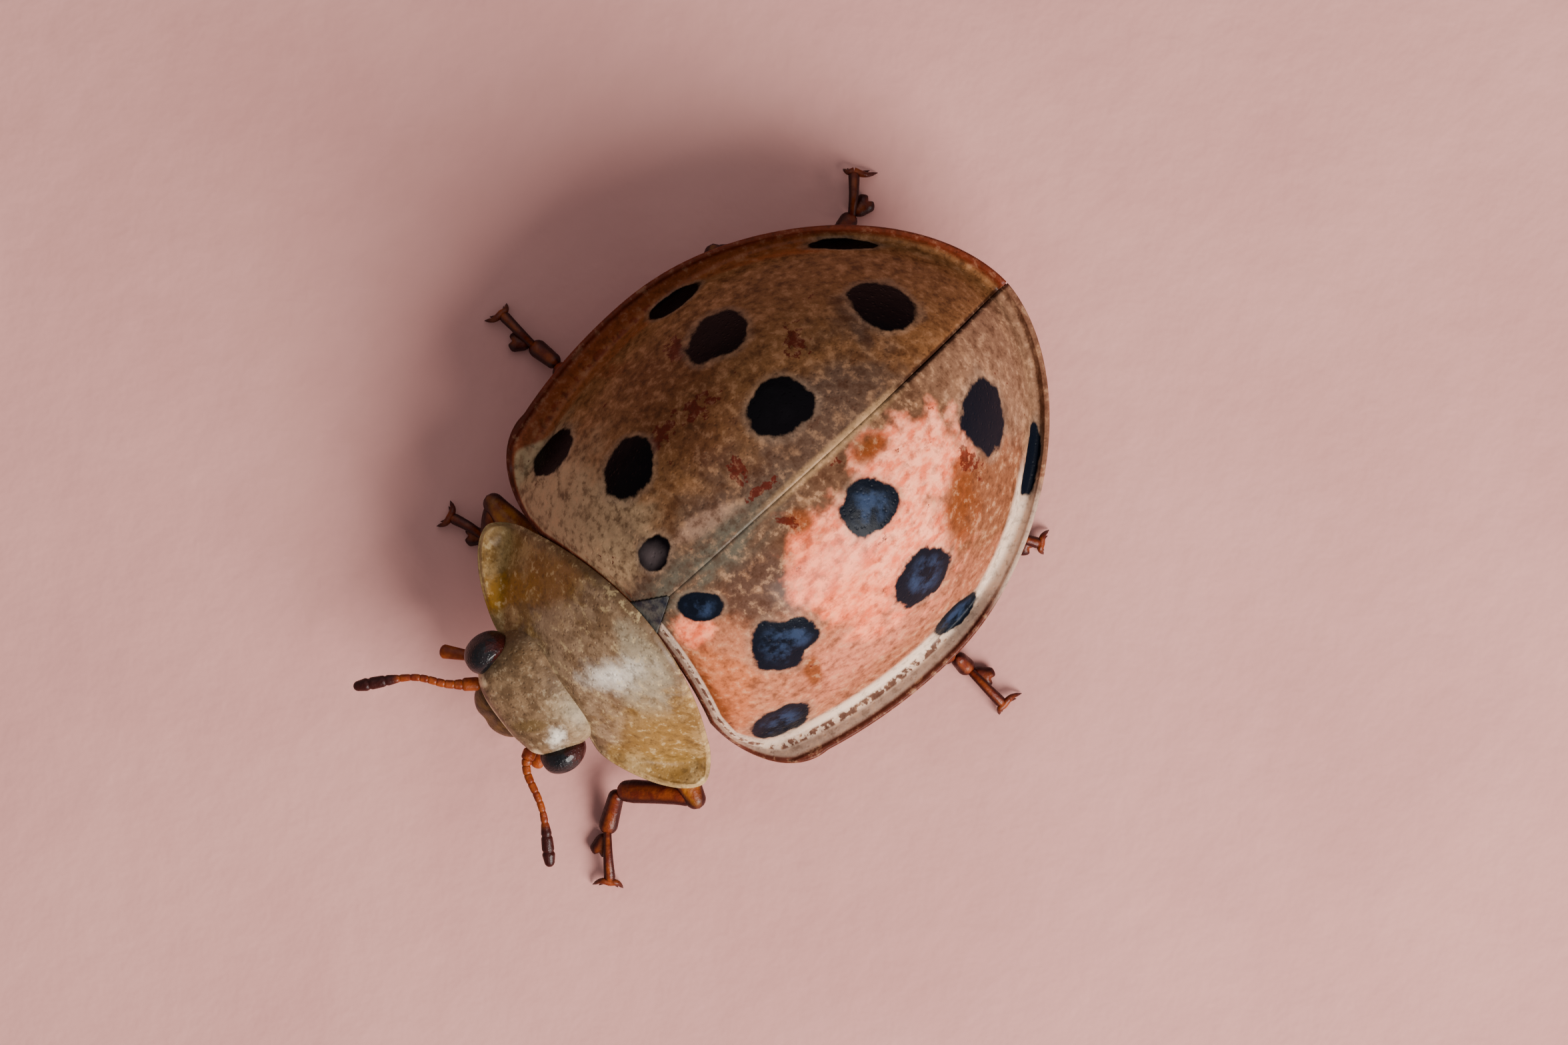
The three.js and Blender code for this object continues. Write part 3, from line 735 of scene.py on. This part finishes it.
def shell_reach(y, front):
    """Half width of the elytra, rounded in at the shoulders."""
    turn = np.clip((y - front) / (SHOULDER["back"] - front), 0, 1)
    width = half_width_at(np.maximum(y, SHOULDER["back"]))
    return mix(SHOULDER["x"], width, np.sqrt(turn * (2 - turn)))


def elytron_plan(sign):
    across = np.concatenate([np.linspace(0, 0.84, 64, endpoint=False), np.linspace(0.84, 1, 34)])
    v = np.linspace(0, 1, 210)[:, None]
    front = SHOULDER["y"] * across**2
    y = mix(front, APEX_Y, (1 - np.cos(np.pi * v)) / 2)
    inner = 0.009 * ramp(3.0, 3.9, y)  # the shells part a little towards the tip
    return np.dstack([sign * (inner + across * np.maximum(0, shell_reach(y, front) - inner)), y])


def marginal_share(x, y):
    """1 on the free edge of an elytron and less inwards."""
    front = 1 - 1.1 * (y - base_y(x))
    side = 1 - (shell_reach(y, base_y(x)) - np.abs(x)) / HALF_WIDTH
    return np.maximum(edge_share(x, y), np.maximum(front, side))


def add_elytra():
    for side, sign in (("left", 1), ("right", -1)):
        shape = slab(elytron_plan(sign), elytral_top, elytral_under, marginal_share)
        add_piece(f"shell_{side}", shape, elytron_finish(side), "elytron", f"elytron_{side}")


def add_scutellum():
    v, u = np.meshgrid(np.linspace(0, 1, 24), np.linspace(-1, 1, 24), indexing="ij")
    half = SCUTELLUM["half"] * (1 - 0.96 * v)
    plan = np.dstack([u * half, mix(-0.02, SCUTELLUM["long"] - 0.02, v)])
    level = lambda x, y: dome_top(x, y) - 0.12 * np.maximum(0, 1 - y / 0.3) ** 2
    crown = lambda x, y: level(x, y) + 0.015 - 0.15 * x**2
    shape = slab(plan, crown, lambda x, y: level(x, y) - 0.2, untoned, bulge=0.012)
    greys = colour(74, 70, 64), colour(28, 28, 36)
    material = plain_finish("scutellum", *greys, coat_weight=0.05, specular_ior_level=0.15)
    add_piece("scutellum_plate", shape, material, "scutellum", "scutellum")


# ---- pronotum and prothorax ----
def rounded_off(x, power):
    return (1 - np.minimum(1, np.abs(x) / PRONOTUM["half"]) ** power) ** (1 / power)


def pronotum_base(x):
    bow = 0.625 - 0.15 * np.minimum(1.4, np.abs(x)) ** 2
    return PRONOTUM["y"] + np.maximum(0, smooth_min(bow, 0.72 * rounded_off(x, 1.6), 0.06))


def pronotum_front(x):
    bow = smooth_min(0.52 + 0.19 * x * x, 0.76 * rounded_off(x, 1.7), 0.06)
    return PRONOTUM["y"] - np.maximum(0, bow)


def pronotum_inwards(x, y):
    edges = np.minimum(y - pronotum_front(x), pronotum_base(x) - y)
    return np.minimum(edges, PRONOTUM["half"] - np.abs(x))


def pronotum_top(x, y):
    inwards = np.maximum(0, pronotum_inwards(x, y))
    bead = 0.025 * hump(inwards - 0.03, 0.025) * ramp(0.9, 1.3, np.abs(x))
    rolled = 0.05 * np.maximum(0, 1 - inwards / 0.1) ** 2
    side_dip = 0.05 * hump(np.abs(x) - 1.45, 0.22) * ramp(0.05, 0.25, inwards)
    return dome_top(x, y) - rolled + bead - side_dip


def pronotum_under(x, y):
    return dome_top(x, y) - mix(0.07, 0.32, ramp(0, 0.4, pronotum_inwards(x, y)))


def fore_turned(shape):
    """The prothorax and all on it are turned a little to the right."""
    points, faces, values = shape
    return spun(points, PRONOTUM["turn"]) + [PRONOTUM["shift"], 0, 0], faces, values


def add_pronotum():
    u = np.linspace(-1, 1, 150)[None, :]
    v = (1 - np.cos(np.pi * np.linspace(0, 1, 70)))[:, None] / 2
    x = PRONOTUM["half"] * np.sin(u * np.pi / 2) + 0 * v
    plan = np.dstack([x, mix(pronotum_front(x), pronotum_base(x), v)])
    tone = lambda x, y: 1 - np.clip(pronotum_inwards(x, y), 0, 1)
    shape = fore_turned(slab(plan, pronotum_top, pronotum_under, tone))
    add_piece("pronotum_plate", shape, pronotum_finish(), "pronotum", "pronotum")


def add_prothorax(material):
    half = 1.25
    u, v = np.linspace(-1, 1, 60)[None, :], np.linspace(0, 1, 36)[:, None]
    x = half * np.sin(u * np.pi / 2) + 0 * v
    drawn_in = (x / half) ** 2
    plan = np.dstack([x, mix(-1 + 0.3 * drawn_in, -0.1 - 0.22 * drawn_in, v)])
    keel = lambda x, y: 0.05 * hump(x, 0.16)
    bottom = lambda x, y: BELLY_Z + 0.06 + 0.06 * (x / half) ** 2 - keel(x, y)
    shape = slab(plan, lambda x, y: pronotum_under(x, y) - 0.06, bottom, untoned, bulge=0.06)
    add_piece("prosternum", fore_turned(shape), material, "underside", "prothorax")


# ---- thorax and abdomen ----
WAIST_Y = 2.15
FURROWS = (2.8, 3.22, 3.6, 3.94, 4.24)


def body_share(y):
    return inner_foot(y) - 0.045


def belly(x, y):
    s = np.clip(edge_share(x, y) / body_share(y), 0, 1)
    smooth = mix(BELLY_Z, rim_height(y) - RIM_THICK - 0.02, s**2.6)
    furrows = sum(0.05 * hump(y + 0.035 * x * x - at, 0.05) for at in FURROWS)
    pits = 0.03 * hump(x, 0.05) * (y < WAIST_Y - 0.1)
    return smooth + furrows * (1 - s**3) + pits


def body_plan(front, back):
    u, v = np.linspace(-1, 1, 90)[None, :], np.linspace(0, 1, 110)[:, None]
    y = mix(front, back, np.sin(v * np.pi / 2) if back > WAIST_Y else v)
    across = np.sin(u * np.pi / 2)
    return np.dstack([across * half_width_at(y, body_share(y)), y + 0 * u])


def add_hind_body(material):
    tail = CENTRE_Y + (APEX_Y - CENTRE_Y) * float(body_share(4.6))
    top = lambda x, y: np.maximum(dome_inside(x, y, 0.09), belly(x, y) + 0.02)
    lengths = (("thorax", 0.05, WAIST_Y - 0.012), ("abdomen", WAIST_Y + 0.012, tail))
    for node, front, back in lengths:
        shape = slab(body_plan(front, back), top, belly, untoned)
        add_piece(f"{node}_plates", shape, material, "underside", node)


# ---- head, eyes and mouthparts, in the head's own frame and then placed ----
def head_placed(shape):
    points, faces, values = shape
    for axis, name in (("X", "pitch"), ("Y", "roll"), ("Z", "turn")):
        points = spun(points, math.radians(HEAD[name]), axis)
    return points + np.array(HEAD["centre"]), faces, values


def squareness(a, b, power):
    level = (np.abs(a) ** power + np.abs(b) ** power) ** (1 / power)
    return np.hypot(a, b) / np.maximum(level, 1e-9)


def capsule(points):
    """Squarer than a ball, flatter in front, drawn in to the muzzle and hollowed between the eyes."""
    x, y, z = points.T
    upright = squareness(np.hypot(x, y), z, 2.5)
    level = upright * squareness(x, y, 3)
    muzzle = 1 - 0.14 * ramp(0.1, 1, -y)
    x, y, z = x * level, y * level, z * upright
    hollow = 0.06 * hump(x, 0.4) * hump(y + 0.35, 0.4) * ramp(0.2, 0.6, z)
    groove = 0.05 * hump(y + 0.8 - 0.12 * x * x, 0.05) * ramp(0, 0.3, z)
    cheek = 0.07 * hump(np.abs(x) - 0.72, 0.1) * ramp(0.1, 0.5, z) * ramp(0.3, -0.1, y)
    crease = 0.02 * hump(np.abs(x) - 0.34 + 0.2 * y, 0.04)
    crease = crease * ramp(-0.1, -0.5, y) * ramp(0.2, 0.6, z)
    height = z * (1 - hollow - groove - crease + cheek)
    return np.stack([x * muzzle, np.where(y < 0, y * HEAD_FRONT, y), height], -1)


def lip_form(points):
    """Notched in the middle of its front edge, and thinner there."""
    x, y, z = points.T
    notch = 1 - 0.12 * hump(x, 0.25) * ramp(0, -0.8, y)
    thin = 1 - 0.4 * ramp(0.2, -1, y)
    return np.stack([x * notch, y * notch, z * notch * thin], -1)


def add_head():
    points, faces, _ = ball((0, 0, 0), HEAD_RADII, rings=110, sides=160, form=capsule)
    x, y, _ = (points / HEAD_RADII).T
    y = y / HEAD_FRONT
    cheeks = 0.8 * ramp(-0.2, -0.5, y) * ramp(0.5, 0.66, np.abs(x))
    front = ramp(-0.7, -0.9, y)
    shape = head_placed((points, faces, np.maximum(cheeks, front)))
    add_piece("head_capsule", shape, head_finish(), "head", "head")


def add_lip():
    """The upper lip and the two jaws beneath it."""
    lip = ball((0.03, -0.53, -0.2), (0.35, 0.27, 0.2), rings=40, sides=60, form=lip_form)
    jaws = [
        ball((sign * 0.13, -0.47, -0.36), (0.15, 0.24, 0.1), turn=sign * 0.3, rings=20, sides=30)
        for sign in (-1, 1)
    ]
    olives = colour(92, 64, 20), colour(50, 30, 8)
    material = plain_finish("lip", *olives, coat_weight=0.1, specular_ior_level=0.2)
    add_piece("upper_lip", head_placed(joined([lip, *jaws])), material, "head", "labrum")


def eye_bean(points, sign):
    """Notched in front, and drawn in behind on the side towards the head."""
    notch = 1 - 0.1 * hump(np.linalg.norm(points - [0, -1, 0.3], axis=1), 0.4)
    drawn = np.ones_like(points)
    inner = points[:, 0] * sign < 0
    drawn[inner, 0] = 1 - 0.5 * ramp(-0.5, 0.6, points[inner, 1])
    return points * notch[:, None] * drawn


def add_eyes():
    material = eye_finish()
    for side, sign in (("left", 1), ("right", -1)):
        centre = np.array([sign * 0.67, -0.08, 0.13])
        bean = lambda points: eye_bean(points, sign)
        points, faces, _ = ball(centre, (0.2, 0.26, 0.26), rings=60, sides=80, form=bean)
        behind = ramp(-0.08, 0.26, (points - centre)[:, 1])
        add_piece(f"eye_dome_{side}", head_placed((points, faces, behind)), material, "eye", f"eye_{side}")


# ---- feelers ----
ANTENNAE = {
    "left": [(0.27, -1.76, 1.2), (0.42, -1.96, 1.22), (0.84, -2.12, 1.22), (1.15, -2.33, 1.15)],
    "right": [(-0.56, -1.7, 1.22), (-0.79, -1.96, 1.24), (-1.1, -2.2, 1.22), (-1.31, -2.53, 1.13)],
}
PALPS = {
    "left": [(0.12, -1.36, 1.0), (0.34, -1.5, 0.76), (0.42, -1.74, 0.64)],
    "right": [(-0.38, -1.36, 1.04), (-0.66, -1.47, 0.78), (-0.96, -1.7, 0.71)],
}
PAST_LAST = 0.22  # how far an antenna goes on beyond its last place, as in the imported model
# where the eleven segments of an antenna meet, as shares of its length
SEGMENT_JOINTS = (0.2, 0.28, 0.37, 0.45, 0.53, 0.6, 0.67, 0.74, 0.82, 0.91)
# its radius along its length: a stout first segment, a thin stalk and a loose club
ANTENNA_RADII = [
    (0, 0.06), (0.03, 0.072), (0.17, 0.07), (0.2, 0.058), (0.3, 0.045),
    (0.68, 0.036), (0.75, 0.042), (0.82, 0.06), (0.93, 0.068), (1.0, 0.045),
]


def lengthened(points, extra):
    points = [np.array(p, float) for p in points]
    last = points[-1] + unit(points[-1] - points[-2]) * extra
    return points[:-1] + [last]


def antenna_shape(points):
    path, t = spline(lengthened(points, PAST_LAST), 260)
    radius = np.interp(t, *np.transpose(ANTENNA_RADII))
    for joint in SEGMENT_JOINTS:
        radius = radius * (1 - 0.16 * hump(t - joint, 0.008))
    radius = radius * rounded_ends(path, radius)
    tone = 0.36 + 0.5 * ramp(0.73, 0.8, t) - 0.15 * ramp(0.2, 0.1, t)
    return tube(path, radius, radius * 0.85, tone, sides=18)


def palp_shape(points):
    """A stalk of two segments from beneath the head, and a broader last one."""
    path, t = spline(lengthened(points, PAST_LAST - 0.05), 120)
    radius = np.interp(t, [0, 0.3, 0.62, 0.7, 0.95, 1.0], [0.075, 0.065, 0.055, 0.052, 0.075, 0.07])
    radius = radius * (1 - 0.2 * hump(t - 0.36, 0.016)) * (1 - 0.25 * hump(t - 0.66, 0.014))
    shape = radius * rounded_ends(path, radius * 0.8)
    return tube(path, shape, shape * 0.7, ramp(0.6, 0.9, t) * 0.25, sides=18)


def add_feelers(material):
    for side in ("left", "right"):
        add_piece(f"feeler_{side}", antenna_shape(ANTENNAE[side]), material, "feeler", f"antenna_{side}")
        add_piece(f"mouth_palp_{side}", palp_shape(PALPS[side]), material, "feeler", f"palp_{side}")


# ---- legs: hip, knee and ankle, then on the floor the end of the first foot joint, the tip of its padded
# second joint, the root of the claws and their two points ----
LEGS = {
    "left_front": ((0.44, -0.42, 0.84), (1.84, -0.87, 0.74), (1.24, -1.41, 0.34),
                   (1.5, -1.8), (1.62, -2.03), (1.9, -2.11), (1.8, -2.26), (2.04, -2.05)),
    "right_front": ((-0.4, -0.36, 0.84), (-1.86, -0.36, 0.72), (-1.2, -0.86, 0.32),
                    (-1.62, -0.64), (-1.79, -0.82), (-2.03, -0.79), (-2.15, -0.68), (-2.05, -0.96)),
    "left_middle": ((0.5, 0.75, 0.84), (1.62, 1.55, 0.71), (2.56, 2.13, 0.3),
                    (2.8, 2.14), (3.03, 2.27), (3.28, 2.16), (3.32, 2.38), (3.33, 2.06)),
    "right_middle": ((-0.5, 0.75, 0.84), (-1.68, 0.93, 0.73), (-2.46, 1.1, 0.32),
                     (-2.8, 1.04), (-2.99, 0.88), (-3.24, 1.02), (-3.3, 0.84), (-3.28, 1.13)),
    "left_hind": ((0.6, 1.98, 0.84), (1.92, 2.85, 0.71), (1.5, 3.46, 0.32),
                  (1.98, 3.39), (2.3, 3.46), (2.3, 3.57), (2.25, 3.73), (2.4, 3.52)),
    "right_hind": ((-0.6, 1.98, 0.84), (-2.24, 3.08, 0.73), (-1.5, 4.12, 0.32),
                   (-1.55, 4.42), (-1.55, 4.68), (-1.88, 4.73), (-1.7, 4.9), (-1.97, 4.66)),
}
JOINT_Z, LOBE_Z, CLAW_Z, TIP_Z = 0.13, 0.08, 0.12, 0.02  # heights of those places over the floor


def rounded_tube(path, wide, high, tone, sides=24):
    """A limb closed with round ends, darker along both sides: partly its cuticle, thicker at the edges, and
    partly painted shade where it turns away from the light above.
    """
    shape = rounded_ends(path, wide)
    around = np.abs(np.cos(np.linspace(0, 2 * math.pi, sides, endpoint=False)))
    tones = np.broadcast_to(np.asarray(tone, float), (len(path),))[:, None]
    edged = np.clip(tones + 0.95 * around[None, :] ** 2.4, 0, 1)
    points, faces, _ = tube(path, wide * shape, high * shape, 0.0, sides)
    return points, faces, edged.reshape(-1)


def femur_shape(root, knee):
    start = mix(root, knee, 0.2) + [0, 0, -0.12]
    end = knee + unit(knee - root) * 0.1
    path, t = spline([start, mix(start, end, 0.5) + [0, 0, 0.05], end], 70)
    wide = np.interp(t, [0, 0.12, 0.45, 0.85, 1.0], [0.13, 0.15, 0.2, 0.12, 0.1])
    high = np.interp(t, [0, 0.12, 0.45, 0.85, 1.0], [0.12, 0.13, 0.17, 0.12, 0.1])
    return rounded_tube(path, wide, high, ramp(0.8, 1.0, t) * 0.6, sides=28)


def tibia_shape(knee, ankle):
    bend = np.cross(unit(ankle - knee), [0, 0, 1]) * 0.04
    path, t = spline([knee, mix(knee, ankle, 0.35) + bend + [0, 0, 0.05], ankle + [0, 0, -0.02]], 60)
    wide = np.interp(t, [0, 0.12, 0.5, 0.85, 1.0], [0.1, 0.09, 0.115, 0.125, 0.1])
    return rounded_tube(path, wide, wide * 0.8, 0.35 + ramp(0.25, 0.0, t) * 0.4)


def claw_shape(base, tip, sign):
    """A claw curves out and down to its point, with a small tooth inside."""
    ahead = unit(tip - base)
    out = np.cross([0, 0, 1], ahead) * sign
    middle = mix(base, tip, 0.5) + out * 0.03 + [0, 0, 0.05]
    path, t = spline([base, middle, tip], 30)
    radius = np.interp(t, [0, 0.3, 0.8, 1.0], [0.042, 0.036, 0.02, 0.004])
    tooth_path, _ = spline([mix(base, middle, 0.6), mix(middle, tip, 0.3) - out * 0.04 - [0, 0, 0.03]], 12)
    tooth = np.linspace(0.03, 0.004, 12)
    claw = tube(path, radius, radius, 0.3 + 0.6 * t, sides=12)
    return joined([claw, tube(tooth_path, tooth, tooth, 0.8, sides=10)])


def lobe_shape(joint, lobe):
    """The second foot joint widens into a two-lobed pad."""
    path, t = spline([joint, mix(joint, lobe, 0.5), lobe], 40)
    wide = np.interp(t, [0, 0.2, 0.75, 1.0], [0.07, 0.08, 0.115, 0.1])
    points, faces, tones = rounded_tube(path, wide, np.interp(t, [0, 1], [0.08, 0.075]), 0.5, sides=32)
    ahead = unit(lobe - joint)
    across = np.cross([0, 0, 1], ahead)
    off = (points - lobe) @ across
    cleft = 0.07 * hump(off, 0.03) * ramp(-0.12, 0.08, (points - lobe) @ ahead)
    return points - ahead * cleft[:, None], faces, tones


def floor_kept(shape):
    """Soles are flat where they stand."""
    points, faces, values = shape
    return np.concatenate([points[:, :2], np.maximum(points[:, 2:], 0)], axis=1), faces, values


def foot_shape(ankle, joint, lobe, claw_root, tips):
    first, _ = spline([ankle, mix(ankle, joint, 0.5) + [0, 0, -0.05], joint + [0, 0, -0.03]], 40)
    width = np.linspace(0.08, 0.105, 40)
    rise, _ = spline([mix(ankle, joint, 0.9), mix(joint, claw_root, 0.45) + [0, 0, 0.06], claw_root], 40)
    thin = np.linspace(0.04, 0.062, 40)
    parts = [
        rounded_tube(first, width, width * 0.95, 0.45),
        lobe_shape(joint + [0, 0, LOBE_Z - JOINT_Z], lobe),
        rounded_tube(rise, thin, thin * 0.9, 0.45, sides=18),
    ]
    side = np.sign(np.cross(tips[0] - claw_root, tips[1] - claw_root)[2])
    for tip, sign in zip(tips, (-side, side)):
        parts.append(claw_shape(claw_root, tip, sign))
    return floor_kept(joined(parts))


def add_legs(material, thigh):
    for name, (*high, joint, lobe, claw_root, tip, other_tip) in LEGS.items():
        hip, knee, ankle = [np.array(p) for p in high]
        socket = ball(hip, (0.28, 0.23, 0.24))
        on_floor = [np.array([*joint, JOINT_Z]), np.array([*lobe, LOBE_Z]), np.array([*claw_root, CLAW_Z])]
        tips = [np.array([*tip, TIP_Z]), np.array([*other_tip, TIP_Z])]
        add_piece(f"hip_{name}", socket, material, "leg", f"coxa_{name}")
        add_piece(f"thigh_{name}", femur_shape(hip, knee), thigh, "leg", f"femur_{name}")
        add_piece(f"shin_{name}", tibia_shape(knee, ankle), material, "leg", f"tibia_{name}")
        add_piece(f"foot_{name}", foot_shape(ankle, *on_floor, tips), material, "leg", f"tarsus_{name}")


# ---- studio ----
VIEW_TILT = math.radians(2)  # the camera looks down from a little to the beetle's right
AIM = (0.24, 1.74, 3.0)  # the place of the beetle at the middle of the picture
ACROSS = (0.671, 0.741, 0)  # the direction that runs to the right of the picture
FRAME_WIDTH = 16.14 * MM  # the picture's width at that place
DISTANCE = 300 * MM
SENSOR = 36.0
LIT_PLACE = (0, 1.9, 1.5)  # the place of the beetle that the lights face
FLOOR_RADIUS = 0.6


def world(point):
    return Vector(np.array(point) * MM + ORIGIN)


def add_camera():
    back = Vector((-math.sin(VIEW_TILT), 0, math.cos(VIEW_TILT)))
    right = Vector(ACROSS)
    right = (right - back * right.dot(back)).normalized()
    up = back.cross(right)
    data = bpy.data.cameras.new("camera")
    camera = bpy.data.objects.new("camera", data)
    turned = Matrix((right, up, back)).transposed().to_4x4()
    camera.matrix_world = Matrix.Translation(world(AIM) + back * DISTANCE) @ turned
    data.sensor_width = SENSOR
    data.lens = SENSOR * DISTANCE / FRAME_WIDTH
    data.clip_start = DISTANCE * 0.01
    data.clip_end = DISTANCE * 100
    link(camera)
    bpy.context.scene.camera = camera


def add_light(name, side, height, distance, size, power, tint):
    """An area light that faces the beetle. Side and height are its direction in degrees."""
    data = bpy.data.lights.new(name, "AREA")
    data.size, data.energy, data.color = size, power, tint
    light = bpy.data.objects.new(name, data)
    a, e = math.radians(side), math.radians(height)
    away = Vector((math.cos(a) * math.cos(e), math.sin(a) * math.cos(e), math.sin(e)))
    light.matrix_world = Matrix.Translation(world(LIT_PLACE) + away * distance)
    light.rotation_mode = "QUATERNION"
    light.rotation_quaternion = away.to_track_quat("Z", "Y")
    link(light)


def add_floor():
    f = Finish("floor")
    base = f.blend(f.step(f.noise(0.35, 3.0), 0.3, 0.7), colour(198, 138, 129), colour(190, 130, 122))
    f.relief((f.noise(2.5, 3.0), 0.02))
    f.paint(base, f.step(f.noise(1.2, 2.0), 0.3, 0.7, 0.7, 0.8))
    level = (0, 0, cad_low.z)
    bpy.ops.mesh.primitive_circle_add(vertices=96, radius=FLOOR_RADIUS, fill_type="NGON", location=level)
    floor = bpy.context.object
    floor.name = "floor"
    floor.data.materials.append(f.material)


def add_studio():
    add_camera()
    add_light("key", 0, 38, distance=0.06, size=0.035, power=0.096, tint=(1.0, 0.97, 0.93))
    add_light("fill", 150, 60, distance=0.08, size=0.08, power=0.012, tint=(0.9, 0.94, 1.0))
    sky = bpy.data.worlds.new("studio")
    sky.use_nodes = True
    background = sky.node_tree.nodes["Background"]
    background.inputs["Color"].default_value = (0.86, 0.88, 0.92, 1.0)
    background.inputs["Strength"].default_value = 0.4
    bpy.context.scene.world = sky
    add_floor()


# ---- the whole scene ----
HORNY = {"deep": colour(44, 6, 3), "coat_weight": 0.05, "specular_ior_level": 0.2}
add_studio()
add_elytra()
add_scutellum()
add_pronotum()
underside = plain_finish("underside", colour(122, 66, 24), colour(86, 40, 12), 0.45, coat_weight=0.1)
add_prothorax(underside)
add_hind_body(underside)
add_head()
add_lip()
add_eyes()
horn = plain_finish("horn", colour(142, 62, 10), colour(104, 32, 5), **HORNY)
add_feelers(horn)
thigh = plain_finish("thigh", colour(150, 88, 20), colour(116, 52, 10), **HORNY)
add_legs(horn, thigh)
